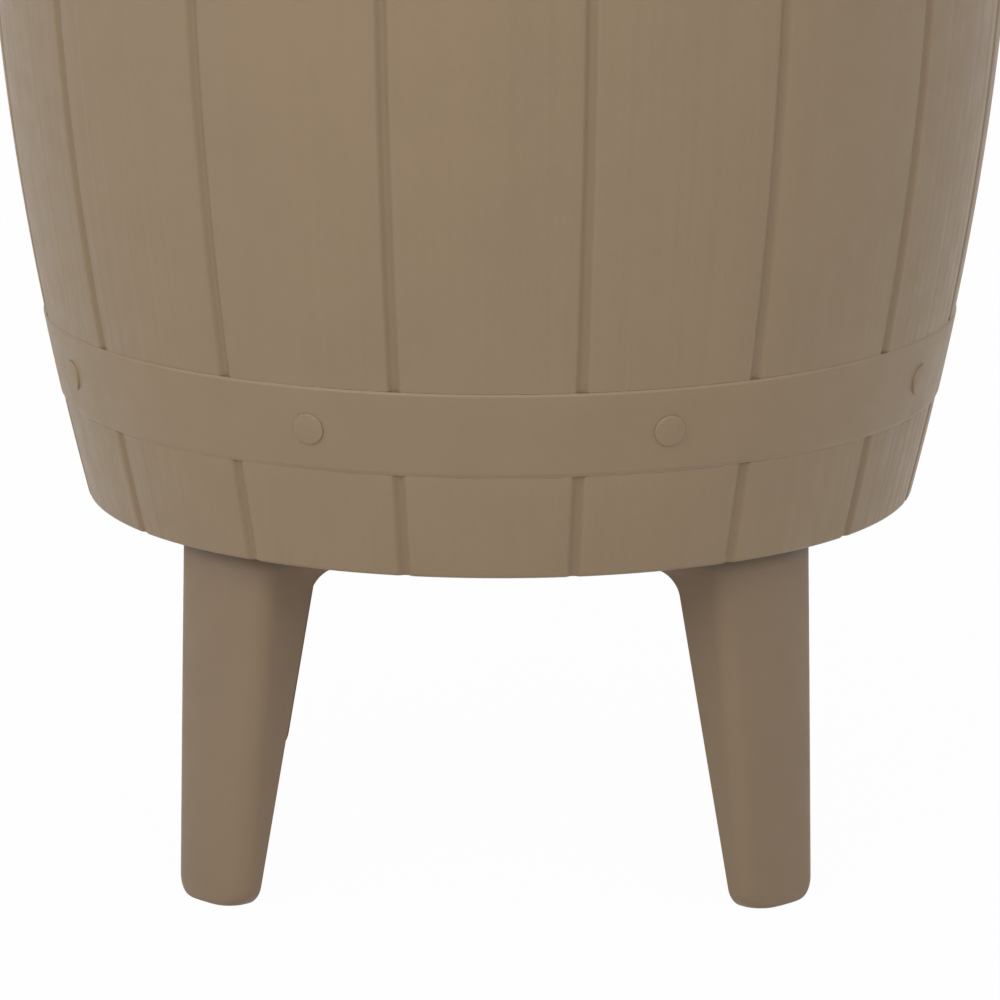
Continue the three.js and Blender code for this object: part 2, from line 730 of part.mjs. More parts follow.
// Planked tabletop with a raised rim, a skirt round the lid pan and bosses for its screws.
function tabletopDeck() {
  const skirtBottom = plateUnderside - skirtOverlap;
  const skirtInner = deckRadius - deckSkirt;
  const rimInner = deckRadius - deckRimWidth;
  const edge = [];
  const edgeSteps = 3;
  for (let i = 0; i <= edgeSteps; i += 1) {
    const angle = (Math.PI / 2) * (i / edgeSteps);
    edge.push([
      deckRadius - deckEdgeRound * (1 - Math.cos(angle)),
      deckTop - deckEdgeRound * (1 - Math.sin(angle)),
    ]);
  }
  let deck = revolve(
    [
      [skirtInner, skirtBottom],
      [deckRadius, skirtBottom],
      ...edge,
      [rimInner, deckTop],
      [rimInner - deckRimRaise, plankTop],
      [0, plankTop],
      [0, skinUnderside],
      [skirtInner, skinUnderside],
    ],
    wideFacets,
  );
  const fieldRadius = rimInner - deckRimRaise - plankGrooveWidth;
  const plankWidth = (2 * fieldRadius) / plankCount;
  const cutBottom = plankTop - plankGrooveDepth;
  const cutTop = plankTop + overrun;
  const halfWidth = plankGrooveWidth / 2;
  let grooves = ring(fieldRadius - plankGrooveWidth, fieldRadius, cutBottom, cutTop, wideFacets);
  for (let i = 1; i < plankCount; i += 1) {
    const x = -fieldRadius + plankWidth * i;
    const reach = Math.sqrt(fieldRadius ** 2 - x ** 2) - halfWidth;
    grooves = grooves.add(box([x - halfWidth, -reach, cutBottom], [x + halfWidth, reach, cutTop]));
  }
  deck = deck.subtract(grooves);
  const bossBottom = plateTop + deckRise / 2 + seat;
  const boss = cylinder(bossRadius, bossBottom, skinUnderside + deckSkin / 2, bossFacets);
  const pilot = cylinder(screwHole, bossBottom - overrun, deckScrewTop + seat, screwFacets);
  for (const angle of turns(deckScrewCount)) {
    const [x, y] = polar(deckScrewCircle, angle);
    deck = deck.add(boss.translate([x, y, 0])).subtract(pilot.translate([x, y, 0]));
  }
  return deck;
}

// Deck screws end just under the deck's skin.
const deckScrewTop = skinUnderside - seat;

const legTop = legHeight - seat;
const flareTop = legTop - legShoe;
const flareBottom = flareTop - legFlare;

// How far the flare into the shoe has spread at a height.
function flareAt(z) {
  const up = THREE.MathUtils.clamp((z - flareBottom) / legFlare, 0, 1);
  return legFlare * (1 - Math.sqrt(1 - up * up));
}

// How far an edge rounded by a radius stands in from the face above it, at a height over the floor.
function roundedIn(radius, z) {
  return z < radius ? radius - Math.sqrt(radius ** 2 - (radius - z) ** 2) : 0;
}

// Section of a leg that points along +X, drawn in by a wall thickness, with its back edge at a depth.
function legSection(z, inset, extraDepth) {
  const share = z / legTop;
  const soleIn = roundedIn(soleRound, z);
  const outer = THREE.MathUtils.lerp(legFootRadius, legTopRadius, share) - inset - soleIn;
  const flare = flareAt(z);
  const backFlare = flare * backFlareShare;
  const halfWidth = THREE.MathUtils.lerp(legFootHalfWidth, legTopHalfWidth, share);
  const half = halfWidth - inset - roundedIn(footRound, z);
  const corner = Math.max(legCorner - inset, legCorner / 4);
  const faceRadius = legFaceRadius - inset;
  const faceMiddle = outer - faceRadius;
  const depth = THREE.MathUtils.lerp(legFootDepth, legTopDepth, share) + flare + extraDepth - soleIn;
  const back = outer - depth;
  const reach = Math.sqrt((faceRadius - corner) ** 2 - (half - corner) ** 2);
  const lean = Math.atan2(half - corner, reach);
  const cornerX = faceMiddle + reach;
  const side = [new THREE.Vector3(back, half + backFlare, z)];
  const cornerSteps = 2;
  for (let i = 0; i <= cornerSteps; i += 1) {
    const angle = THREE.MathUtils.lerp(Math.PI / 2, lean, i / cornerSteps);
    const [x, y] = polar(corner, angle);
    side.push(new THREE.Vector3(cornerX + x, half - corner + y, z));
  }
  const faceSteps = 2;
  for (let i = 1; i < faceSteps; i += 1) {
    const [x, y] = polar(faceRadius, lean * (1 - i / faceSteps));
    side.push(new THREE.Vector3(faceMiddle + x, y, z));
  }
  const crown = new THREE.Vector3(outer, 0, z);
  const otherSide = side.map((p) => new THREE.Vector3(p.x, -p.y, p.z)).reverse();
  return [...side, crown, ...otherSide].reverse();
}

// One leg, open at the back, with pockets between its ribs and a screw tab behind it.
function leg() {
  const heights = [0, soleRound * 0.4, soleRound, footRound, flareBottom];
  const flareSteps = 4;
  for (let i = 1; i <= flareSteps; i += 1) {
    heights.push(flareBottom + legFlare * Math.sin((Math.PI / 2) * (i / flareSteps)));
  }
  heights.push(legTop);
  let body = loft(heights.map((z) => legSection(z, 0, 0)));
  const plateBottom = legTop - legPlate;
  const pocketPitch = (plateBottom - legSole + legRib) / legPocketCount;
  for (let i = 0; i < legPocketCount; i += 1) {
    const low = legSole + pocketPitch * i;
    const high = low + pocketPitch - legRib;
    const levels = [low, ...heights.filter((z) => z > low && z < high), high];
    body = body.subtract(loft(levels.map((z) => legSection(z, legWall, overrun))));
  }
  const tabFront = legTopRadius - legTopDepth;
  const tab = box([legBack - tabLength, -legTopHalfWidth, plateBottom], [tabFront, legTopHalfWidth, legTop]);
  body = body.add(tab);
  for (const y of tabScrews) {
    body = body.subtract(
      cylinder(screwHole, plateBottom - overrun, legTop + overrun, screwFacets).translate([tabScrewX, y, 0]),
    );
  }
  const peg = cylinder(pegRadius, legTop - legPlate / 2, legTop + seat + pegHeight, bossFacets);
  return body.add(peg.translate([pegX, 0, 0]));
}

// Screw cap with a lobed grip.
function drainCap() {
  const spoutEnd = barrelBottom - spoutDrop;
  const floorTop = spoutEnd - seat - washerThickness - seat;
  const bottom = floorTop - capWall;
  const top = spoutEnd + capGrip;
  let cap = revolve(
    [
      [0, bottom],
      [capRadius, bottom],
      [capRadius, top],
      [capBore, top],
      [capBore, floorTop],
      [0, floorTop],
    ],
    smallFacets,
  );
  for (const angle of turns(capLobes, Math.PI / smallFacets)) {
    const [x, y] = polar(capRadius, angle);
    cap = cap.add(cylinder(lobeRadius, bottom, top - capWall, bossFacets).translate([x, y, 0]));
  }
  return cap;
}

// Rubber washer between the cap's floor and the spout's end.
function drainWasher() {
  const bottom = barrelBottom - spoutDrop - seat - washerThickness;
  return cylinder(capBore - running, bottom, bottom + washerThickness, smallFacets);
}

const table = new THREE.Group();

// A named mesh of a solid with its own finish, added to a group.
function part(group, name, solid, color, roughness = 0.55, metalness = 0) {
  const material = new THREE.MeshStandardMaterial({ color, roughness, metalness });
  const mesh = new THREE.Mesh(geometryOf(solid), material);
  mesh.name = name;
  group.add(mesh);
  return mesh;
}

// Barrel, bucket and drain
part(table, "barrel", barrel(), taupe);
part(table, "inner_bucket", innerBucket(), bucketGrey);
const drain = new THREE.Group();
drain.position.set(0, drainSetback, 0);
table.add(drain);
part(drain, "drain_washer", drainWasher(), gasketBlack, 0.8);
part(drain, "drain_cap", drainCap(), taupe);

// Legs, each with two screws
for (const [name, degrees] of Object.entries(legAngles)) {
  const stand = new THREE.Group();
  stand.rotation.z = THREE.MathUtils.degToRad(degrees);
  table.add(stand);
  part(stand, "leg_" + name, leg(), taupe);
  const tabUnderside = legTop - legPlate;
  const length = legPlate + seat + barrelWall + screwBite;
  tabScrews.forEach((y, i) => {
    const mesh = part(stand, "leg_screw_" + name + "_" + (i + 1), screw(length), screwSteel, 0.35, 1);
    mesh.position.set(tabScrewX, y, tabUnderside - seat);
  });
}

// Guide column and what holds it
part(table, "column_gasket", columnGasket(), gasketBlack, 0.8);
part(table, "guide_column", guideColumn(), taupe);
part(table, "column_collar", columnCollar(), taupe);
collarScrewAngles.forEach((angle, i) => {
  part(table, "collar_screw_" + (i + 1), radial(collarScrew(), angle, collarScrewHeight), screwSteel, 0.35, 1);
});
turns(columnScrewCount, Math.PI / columnScrewCount).forEach((angle, i) => {
  const headUnderside = columnBottom + columnFlangeThickness + seat;
  const length = headUnderside - bucketUnderside + columnScrewBite;
  const mesh = part(table, "column_screw_" + (i + 1), screw(length).rotate([180, 0, 0]), screwSteel, 0.35, 1);
  mesh.position.set(...polar(columnScrewCircle, angle), headUnderside);
});

// What rises with the tabletop
part(table, "glide_ring", glideRing(), bucketGrey, 0.4);
part(table, "tube_foot", tubeFoot(), bucketGrey, 0.4);
part(table, "lift_tube", liftTube(), taupe);
part(table, "lid_pan", lidPan(), taupe);
part(table, "lid_gasket", lidGasket(), gasketBlack, 0.8);
part(table, "tabletop_deck", tabletopDeck(), taupeTop);
[0, Math.PI].forEach((angle, i) => {
  const side = ["right", "left"][i];
  part(table, "foot_screw_" + side, radial(footScrew(), angle, footScrewHeight), screwSteel, 0.35, 1);
  part(table, "hub_screw_" + side, radial(hubScrew(), angle, hubScrewHeight), screwSteel, 0.35, 1);
});
turns(deckScrewCount).forEach((angle, i) => {
  const headTop = deckScrewSeat - seat;
  const mesh = part(table, "deck_screw_" + (i + 1), screw(deckScrewTop - headTop), screwSteel, 0.35, 1);
  mesh.position.set(...polar(deckScrewCircle, angle), headTop);
});

console.log("tabletop height " + deckTop.toFixed(1) + ", lift " + lift.toFixed(1));

export default table;
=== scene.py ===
"""Looks for a barrel-shaped cooler table in moulded resin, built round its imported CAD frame."""

import math
from types import SimpleNamespace

import bmesh
import bpy
from bpy.props import FloatProperty, FloatVectorProperty, IntProperty, PointerProperty
from mathutils import Matrix, Vector


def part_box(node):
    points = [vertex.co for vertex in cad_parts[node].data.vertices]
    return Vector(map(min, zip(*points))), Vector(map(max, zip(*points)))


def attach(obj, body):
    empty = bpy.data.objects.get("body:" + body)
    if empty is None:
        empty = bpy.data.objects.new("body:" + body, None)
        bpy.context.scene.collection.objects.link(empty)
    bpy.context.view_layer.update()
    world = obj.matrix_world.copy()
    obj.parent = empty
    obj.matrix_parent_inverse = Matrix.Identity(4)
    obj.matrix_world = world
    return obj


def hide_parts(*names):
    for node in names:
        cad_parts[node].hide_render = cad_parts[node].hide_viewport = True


bl_info = {
    "name": "Cooler Table",
    "version": (1, 0, 0),
    "blender": (4, 5, 0),
    "location": "View3D > Sidebar > Cooler Table",
    "description": "Builds the visible pieces and finishes of a barrel-shaped cooler table",
    "category": "Object",
}

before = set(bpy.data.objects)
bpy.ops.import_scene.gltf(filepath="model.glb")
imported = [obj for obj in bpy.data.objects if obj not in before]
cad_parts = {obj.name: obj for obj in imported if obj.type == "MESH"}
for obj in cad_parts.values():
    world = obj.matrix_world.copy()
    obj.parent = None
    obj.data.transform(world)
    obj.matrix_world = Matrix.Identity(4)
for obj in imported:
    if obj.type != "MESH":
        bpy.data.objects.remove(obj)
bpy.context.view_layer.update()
shell_low, shell_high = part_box("barrel")

MM = 0.001
FRONT = -math.pi / 2
# Facets round turned pieces, from the tabletop down to the washer
WIDEST, WIDE, MIDDLING, NARROW = 192, 160, 96, 64


def linear(code):
    """An sRGB hex colour as linear red, green and blue."""
    shares = [int(code[i : i + 2], 16) / 255 for i in (0, 2, 4)]
    return tuple(s / 12.92 if s <= 0.04045 else ((s + 0.055) / 1.055) ** 2.4 for s in shares)


def length(name, description, millimetres):
    """A length that a user may change, kept in metres."""
    return FloatProperty(
        name=name, description=description, default=millimetres * MM, min=0, unit="LENGTH", precision=4
    )


def in_mm(group):
    """The lengths of a group of properties by name, in mm."""
    lengths = [p.identifier for p in group.bl_rna.properties if getattr(p, "unit", "") == "LENGTH"]
    return SimpleNamespace(**{key: getattr(group, key) / MM for key in lengths})


def box_mm(node):
    """The lowest and the highest corner of a node in mm."""
    low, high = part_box(node)
    return low / MM, high / MM


def colour(name, description, code):
    """A finish colour that a user may change."""
    return FloatVectorProperty(
        name=name, description=description, default=linear(code), min=0, max=1, size=3, subtype="COLOR"
    )


def spot(name, description, *metres):
    """A place in metres that a user may change."""
    return FloatVectorProperty(
        name=name, description=description, default=metres, size=3, subtype="TRANSLATION"
    )


def power(name, description, watts):
    """A lamp's power that a user may change."""
    return FloatProperty(name=name, description=description, default=watts, min=0, unit="POWER")


def angle(name, description, degrees):
    """An angle that a user may change, kept in radians."""
    return FloatProperty(name=name, description=description, default=math.radians(degrees), unit="ROTATION")


def fraction(name, description, share):
    """A share from zero to one that a user may change."""
    return FloatProperty(name=name, description=description, default=share, min=0, max=1)


def how_many(name, description, count, least=1):
    """A number of like pieces that a user may change."""
    return IntProperty(name=name, description=description, default=count, min=least)


# Sizes and colours


class BarrelSizes(bpy.types.PropertyGroup):
    """The outer shell: staves, hoops and rivets."""

    foot_radius: length("Foot Radius", "Face of the staves at the underside", 190.5)
    belly_radius: length("Belly Radius", "Face of the staves at their widest", 234.4)
    belly_height: length("Belly Height", "Underside to the widest place", 318)
    bulge_power: FloatProperty(
        name="Bulge Power", description="How fast the staves draw in below the belly", default=1.84, min=1
    )
    wall: length("Wall", "Thickness of the shell", 3.6)
    rim_round: length("Rim Rounding", "Rounding of the lower edge", 2)
    stave_count: how_many("Staves", "Staves round the barrel", 16, 3)
    stave_turn: angle("Stave Turn", "How far the staves and the rivets are turned against the legs", -0.43)
    groove_width: length("Groove Width", "Gap between two staves, from wall to wall", 4.2)
    groove_soft: length("Groove Softness", "How wide each of its two sloping walls is", 3.6)
    groove_depth: length("Groove Depth", "Depth of that gap", 1.6)
    hoop_width: length("Hoop Width", "Height of a hoop", 39.2)
    hoop_proud: length("Hoop Thickness", "How far a hoop stands off the staves", 0.7)
    hoop_lip: length("Hoop Lip", "Height of the slope that the hoop's lower edge has", 2)
    hoop_slope: length("Hoop Slope", "Height of the slope along a hoop's upper edge", 1.2)
    lower_hoop: length("Lower Hoop", "Underside of the barrel to the lower hoop", 47.9)
    upper_hoop_drop: length("Upper Hoop Drop", "Top edge of the staves to the upper hoop", 26)
    # The groove shade is painted shade: it darkens the gaps between the staves
    groove_painted_shade: fraction("Groove Dust", "How much the dust in the gaps takes from the colour", 0.11)
    # The rivets' pale walls are a painted highlight
    rivet_painted_highlight: fraction("Rivet Polish", "How much paler the rivets' walls are", 0.32)
    rivet_radius: length("Rivet Radius", "Radius of a rivet's head", 7)
    rivet_proud: length("Rivet Height", "How far a rivet stands off its hoop", 1)
    rivet_count: how_many("Rivets", "Rivets on each hoop", 8, 2)
    resin: colour("Resin", "Colour of the moulded shell", "978166")


class LegSizes(bpy.types.PropertyGroup):
    """One leg of four, pointing away from the barrel's axis."""

    top_radius: length("Top Radius", "Axis to the outer face at the top", 177.5)
    foot_radius: length("Foot Radius", "Axis to the outer face at the foot", 186.6)
    face_radius: length("Face Curve", "Curve of the outer face, seen from above", 85)
    top_half: length("Top Half Width", "Half the width at the top", 30.3)
    foot_half: length("Foot Half Width", "Half the width at the foot", 22.6)
    top_depth: length("Top Depth", "Outer face to the back edge at the top", 35.5)
    foot_depth: length("Foot Depth", "Outer face to the back edge at the foot", 12.8)
    corner: length("Corner Rounding", "Rounding between the outer face and the sides", 9.5)
    wall: length("Wall", "Thickness of the leg's walls", 3.4)
    flare: length("Flare", "Radius of the flare into the shoe", 10.7)
    back_flare: fraction("Sideways Flare", "Share of the flare that the back edges take sideways", 0.25)
    shoe: length("Shoe", "Height of the straight shoe under the barrel", 12.3)
    plate: length("Plate", "Thickness of the plate and the tab at the top", 3.6)
    sole: length("Sole", "Thickness of the solid foot", 7)
    rib: length("Rib", "Thickness of the ribs between the pockets", 2.6)
    pocket_count: how_many("Pockets", "Pockets up the inside of a leg", 3)
    foot_round: length("Foot Rounding", "Rounding of the foot's side corners", 9.2)
    sole_round: length("Sole Rounding", "Rounding of the foot's outer edge", 2)
    tab: length("Tab", "Length of the tab behind a leg", 24)
    screw_spread: length("Screw Spread", "Middle of the tab to a screw", 13)
    screw_hole: length("Screw Hole", "Radius of a hole for a screw", 2.3)
    count: how_many("Legs", "Legs round the barrel", 4, 3)
    resin: colour("Resin", "Colour of the legs", "8A745C")


class TopSizes(bpy.types.PropertyGroup):
    """The tabletop and the lid pan under it."""

    skin: length("Skin", "Thickness of the tabletop's skin", 4)
    skirt: length("Skirt", "Wall of the skirt round the lid pan", 4.5)
    rim_width: length("Rim Width", "Width of the raised rim", 17)
    rim_raise: length("Rim Height", "How far the rim stands over the planks", 2.5)
    edge_round: length("Edge Rounding", "Rounding of the outer edge", 6)
    plank_count: how_many("Planks", "Planks across the tabletop", 7)
    plank_round: length("Plank Rounding", "Rounding of a plank's edges", 0.9)
    groove_width: length("Groove Width", "Gap between two planks", 3)
    groove_depth: length("Groove Depth", "Depth of that gap", 1.5)
    plate: length("Plate", "Thickness of the lid pan's plate", 3.5)
    hub_drop: length("Hub Drop", "How far the hub and the spigot hang below the plate", 12)
    hub_rise: length("Hub Rise", "How far the hub stands above the plate", 16)
    hub_wall: length("Hub Wall", "Wall round the lift tube's end", 5.5)
    hub_cap: length("Hub Cap", "Thickness over the lift tube's end", 3)
    spigot_wall: length("Spigot Wall", "Wall of the ring that holds the gasket", 3)
    spigot_lip: length("Spigot Lip", "Lip under the gasket", 2)
    gasket_width: length("Gasket Width", "Width of the lid's gasket", 3.2)
    upstand: length("Upstand", "Wall round the lid pan", 3.5)
    rib: length("Rib", "Thickness of the lid pan's ribs", 2.6)
    rib_count: how_many("Ribs", "Ribs of the lid pan", 6)
    boss_wall: length("Boss Wall", "Material round a screw's head", 3.5)
    boss_rise: length("Boss Height", "Height of a screw's boss over the plate", 12.2)
    screw_circle: length("Screw Circle", "Axis to the tabletop's screws", 150)
    screw_count: how_many("Screws", "Screws of the tabletop", 6)
    soft: length("Moulded Edge", "Rounding of the moulded edges", 0.7)
    resin: colour("Resin", "Colour of the tabletop", "978166")


class InsideSizes(bpy.types.PropertyGroup):
    """The bucket and the column in it, with the drain."""

    bucket_wall: length("Bucket Wall", "Thickness of the bucket's wall", 2.6)
    bucket_floor: length("Bucket Floor", "Thickness of the bucket's floor", 3)
    bucket_corner: length("Bucket Corner", "Rounding between the wall and the floor", 14)
    bucket_rise: length("Bucket Rise", "Barrel's floor to the bucket's underside", 38)
    air_gap: length("Air Gap", "Insulating air between the bucket and the staves", 27)
    flange: length("Flange", "Thickness of the flange that hangs the bucket", 4)
    ring_depth: length("Ring Depth", "Depth of the ring under the flange", 6)
    ring_wall: length("Ring Wall", "Wall of that ring", 2.5)
    spout_bore: length("Spout Bore", "Radius of the drain's bore", 8)
    spout_wall: length("Spout Wall", "Thickness of the drain spout", 3)
    spout_dish: length("Spout Dish", "Width of the sloping dish round the drain", 7)
    drain_setback: length("Drain Setback", "Axis of the barrel to the drain", 115)
    cap_wall: length("Cap Wall", "Thickness of the drain's cap", 3)
    lobe: length("Lobe", "Radius of a lobe of the cap's grip", 3)
    lobe_count: how_many("Lobes", "Lobes round the cap's grip", 8, 2)
    tube_wall: length("Tube Wall", "Thickness of the lift tube", 2.5)
    play: length("Play", "Gap between the lift tube and the column's bore", 0.8)
    channel: length("Channel Depth", "Depth of the column's four channels", 3)
    channel_width: length("Channel Width", "Width of a channel", 9.6)
    column_wall: length("Column Wall", "Wall behind the channels", 3.7)
    column_flange: length("Column Flange", "Thickness of the column's flange", 5)
    column_fillet: length("Column Fillet", "Rounding between the column and its flange", 3)
    lock_turn: angle("Lock Turn", "Twist that locks the tabletop", 30)
    lock_play: length("Lock Play", "Gap over and under a locked lug", 1)
    collar_wall: length("Collar Wall", "Wall of the collar's skirt", 2.7)
    collar_skirt: length("Collar Skirt", "How far the collar hangs over the column", 13)
    fit: length("Fit", "Gap between two pieces that touch", 0.3)
    soft: length("Moulded Edge", "Rounding of the moulded edges", 0.6)
    bucket: colour("Bucket", "Colour of the bucket", "CFC9BE")
    bearing: colour("Bearing", "Colour of the sliding pieces", "D8D5CC")
    rubber: colour("Rubber", "Colour of the gaskets", "2B2A28")


class ScrewSizes(bpy.types.PropertyGroup):
    """The screws, all of one thread."""

    head: length("Head", "Radius of a head", 4)
    rise: length("Head Height", "Height of a head", 2.6)
    shank: length("Shank", "Outer radius of the thread", 2)
    core: length("Core", "Inner radius of the thread", 1.6)
    pitch: length("Pitch", "Distance between two turns of the thread", 1.4)
    tip: length("Tip", "Length of the plain tip, and of the plain neck", 1)
    recess: length("Recess", "Half the span of the crossed recess", 2.1)
    recess_width: length("Recess Width", "Half the width of its arms", 0.45)
    recess_depth: length("Recess Depth", "Depth of the recess", 1.3)
    steel: colour("Steel", "Colour of the screws", "B9B8B4")


class StageSettings(bpy.types.PropertyGroup):
    """Floor, lamps and camera."""

    floor: colour("Floor", "Colour of the pale floor, as it lights the object", "E7E6E5")
    floor_share: fraction("Floor Shade", "Share of the floor that shows shadow to the camera", 0.02)
    floor_reach: length("Floor Reach", "Middle of the floor to its edges", 40000)
    floor_drop: length("Floor Drop", "How far the floor lies below the soles", 0.2)
    room: fraction("Room Light", "How bright the white room is as a light", 0.19)
    aim: spot("Lamp Aim", "Where every lamp points", 0, 0, 0.35)
    front_left_spot: spot("Front Left Lamp", "Place of the lamp high in front on the left", -1.3, -2.3, 2.0)
    front_left_size: length("Front Left Lamp Size", "Side of the lamp high in front on the left", 2200)
    front_left_power: power("Front Left Lamp Power", "Power of the lamp high in front on the left", 36)
    front_right_spot: spot("Front Right Lamp", "Place of the lamp high in front on the right", 1.3, -2.3, 2.0)
    front_right_size: length("Front Right Lamp Size", "Side of the lamp high in front on the right", 2200)
    front_right_power: power("Front Right Lamp Power", "Power of the lamp high in front on the right", 20)
    left_spot: spot("Left Lamp", "Place of the lamp on the left", -2.6, -0.6, 1.0)
    left_size: length("Left Lamp Size", "Side of the lamp on the left", 1800)
    left_power: power("Left Lamp Power", "Power of the lamp on the left", 9)
    right_spot: spot("Right Lamp", "Place of the lamp on the right", 2.6, -0.6, 1.0)
    right_size: length("Right Lamp Size", "Side of the lamp on the right", 1800)
    right_power: power("Right Lamp Power", "Power of the lamp on the right", 6)
    top_spot: spot("Top Lamp", "Place of the lamp overhead", 0, -0.4, 2.8)
    top_size: length("Top Lamp Size", "Side of the lamp overhead", 2400)
    top_power: power("Top Lamp Power", "Power of the lamp overhead", 10)
    back_spot: spot("Back Lamp", "Place of the lamp behind", 0, 2.8, 1.6)
    back_size: length("Back Lamp Size", "Side of the lamp behind", 2000)
    back_power: power("Back Lamp Power", "Power of the lamp behind", 22)
    camera_setback: length("Camera Setback", "Axis of the table to the camera, level", 3414.6)
    camera_height: length("Camera Height", "Floor to the camera", 937)
    camera_turn: angle("Camera Turn", "How far round to the right the camera stands", 1.02)
    camera_tilt: angle("Camera Tilt", "Straight down to the camera's view", 77.137)
    sensor: FloatProperty(name="Sensor", description="Width of the camera's sensor in mm", default=36, min=1)
    lens: FloatProperty(name="Lens", description="Focal length of the camera in mm", default=271.37, min=1)


# Meshes


def new_piece(name, points, faces):
    """An object with a mesh of its own, its faces pointing outwards."""
    mesh = bpy.data.meshes.new(name)
    mesh.from_pydata([Vector(p) for p in points], [], faces)
    piece = bpy.data.objects.new(name, mesh)
    bpy.context.scene.collection.objects.link(piece)
    return close(piece)


def close(piece, reach=0.01 * MM):
    """Merges a mesh's doubles and turns its faces outwards."""
    work = bmesh.new()
    work.from_mesh(piece.data)
    bmesh.ops.remove_doubles(work, verts=work.verts, dist=reach)
    bmesh.ops.dissolve_degenerate(work, edges=work.edges, dist=reach / 10)
    bmesh.ops.recalc_face_normals(work, faces=work.faces)
    work.to_mesh(piece.data)
    work.free()
    return piece


def smooth(piece, degrees=32):
    """Smooth shading, except over edges sharper than an angle."""
    piece.data.shade_smooth()
    piece.data.set_sharp_from_angle(angle=math.radians(degrees))
    return piece


def rounded(profile, radius, steps=3, least=25, most=0.45):
    """A closed profile of (radius, height) pairs in mm, with arcs for the corners off the axis that turn by
    at least some degrees. An arc takes at most a share of the edges beside it."""
    points = [Vector(p) for p in profile]
    made = []
    for i, here in enumerate(points):
        before, after = points[i - 1] - here, points[(i + 1) % len(points)] - here
        if here.x < radius or 180 - math.degrees(before.angle(after)) < least:
            made.append(here)
            continue
        start = here + before.normalized() * min(radius, before.length * most)
        end = here + after.normalized() * min(radius, after.length * most)
        for k in range(steps + 1):
            t = k / steps
            made.append(start * (1 - t) ** 2 + here * 2 * t * (1 - t) + end * t**2)
    return [tuple(p) for p in made]


def turned(name, profile, facets, radius, centre=(0, 0)):
    """A piece turned about an upright axis from a closed profile in mm, its corners rounded by a radius."""
    points, rows = [], []
    on_axis = 1e-6
    for r, z in rounded(profile, radius):
        count = facets if r > on_axis else 1
        rows.append(range(len(points), len(points) + count))
        for k in range(count):
            turn = 2 * math.pi * k / facets
            x, y = r * math.cos(turn) + centre[0], r * math.sin(turn) + centre[1]
            points.append((x * MM, y * MM, z * MM))
    faces = []
    for low, high in zip(rows, rows[1:] + rows[:1]):
        if len(low) == 1 and len(high) == 1:
            continue
        for k in range(facets):
            j = (k + 1) % facets
            if len(low) == 1:
                faces.append((low[0], high[j], high[k]))
            elif len(high) == 1:
                faces.append((low[k], low[j], high[0]))
            else:
                faces.append((low[k], low[j], high[j], high[k]))
    return new_piece(name, points, faces)


def lofted(name, rings):
    """A piece through closed rings of points in metres, all of one count, capped at both ends."""
    count = len(rings[0])
    points = [p for ring in rings for p in ring]
    faces = [tuple(range(count - 1, -1, -1))]
    for row in range(len(rings) - 1):
        for k in range(count):
            j = (k + 1) % count
            low, high = row * count, (row + 1) * count
            faces.append((low + k, low + j, high + j, high + k))
    last = (len(rings) - 1) * count
    faces.append(tuple(range(last, last + count)))
    return new_piece(name, points, faces)


def block(name, low, high):
    """A box between two corners in mm."""
    ring = [(low[0], low[1]), (high[0], low[1]), (high[0], high[1]), (low[0], high[1])]
    return lofted(name, [[(x * MM, y * MM, z * MM) for x, y in ring] for z in (low[2], high[2])])


def rod(name, radius, low, high, centre=(0, 0), facets=32):
    """An upright cylinder in mm."""
    return turned(name, [(0, low), (radius, low), (radius, high), (0, high)], facets, 0, centre)


def place(piece, matrix):
    """Moves a piece by changing its mesh, so that its object stays at the origin."""
    piece.data.transform(matrix)
    return piece


def plain(piece):
    """Turns what the modifiers make into the piece's own mesh, and drops them."""
    graph = bpy.context.evaluated_depsgraph_get()
    mesh = bpy.data.meshes.new_from_object(piece.evaluated_get(graph))
    piece.modifiers.clear()
    piece.data = mesh
    mesh.name = piece.name
    return piece


def combine(piece, others, operation="DIFFERENCE"):
    """Cuts other solids out of a piece, or joins them to it, and drops them."""
    for other in others:
        modifier = piece.modifiers.new(operation.title(), "BOOLEAN")
        modifier.operation = operation
        modifier.solver = "MANIFOLD"
        modifier.object = other
        plain(piece)
        bpy.data.objects.remove(other)
    return piece


def join(name, parts):
    """Several closed meshes as one piece, each left whole."""
    work = bmesh.new()
    for part in parts:
        work.from_mesh(part.data)
        bpy.data.objects.remove(part)
    mesh = bpy.data.meshes.new(name)
    work.to_mesh(mesh)
    work.free()
    piece = bpy.data.objects.new(name, mesh)
    bpy.context.scene.collection.objects.link(piece)
    return piece


def settle(piece, material, body, slot, *nodes):
    """Gives a finished piece its material, its body and the nodes that it stands for. The slot is not used.
    """
    piece.data.materials.clear()
    piece.data.materials.append(material)
    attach(piece, body)
    if nodes:
        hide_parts(*nodes)
    return piece


def recoat(nodes, material):
    """Gives nodes of the frame that stay as they are a finish of their own."""
    for node in nodes:
        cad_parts[node].data.materials.clear()
        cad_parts[node].data.materials.append(material)


# Node trees


def add(tree, kind, inputs=None, **settings):
    """Adds a node with its settings. Each input is a value, a node whose first output it takes, or a pair of
    a node and the name of an output."""
    made = tree.nodes.new(kind)
    for key, value in settings.items():
        setattr(made, key, value)
    for key, value in (inputs or {}).items():
        socket = made.inputs[key]
        if isinstance(value, bpy.types.Node):
            tree.links.new(value.outputs[0], socket)
        elif isinstance(value, tuple) and isinstance(value[0], bpy.types.Node):
            tree.links.new(value[0].outputs[value[1]], socket)
        else:
            socket.default_value = value
    return made


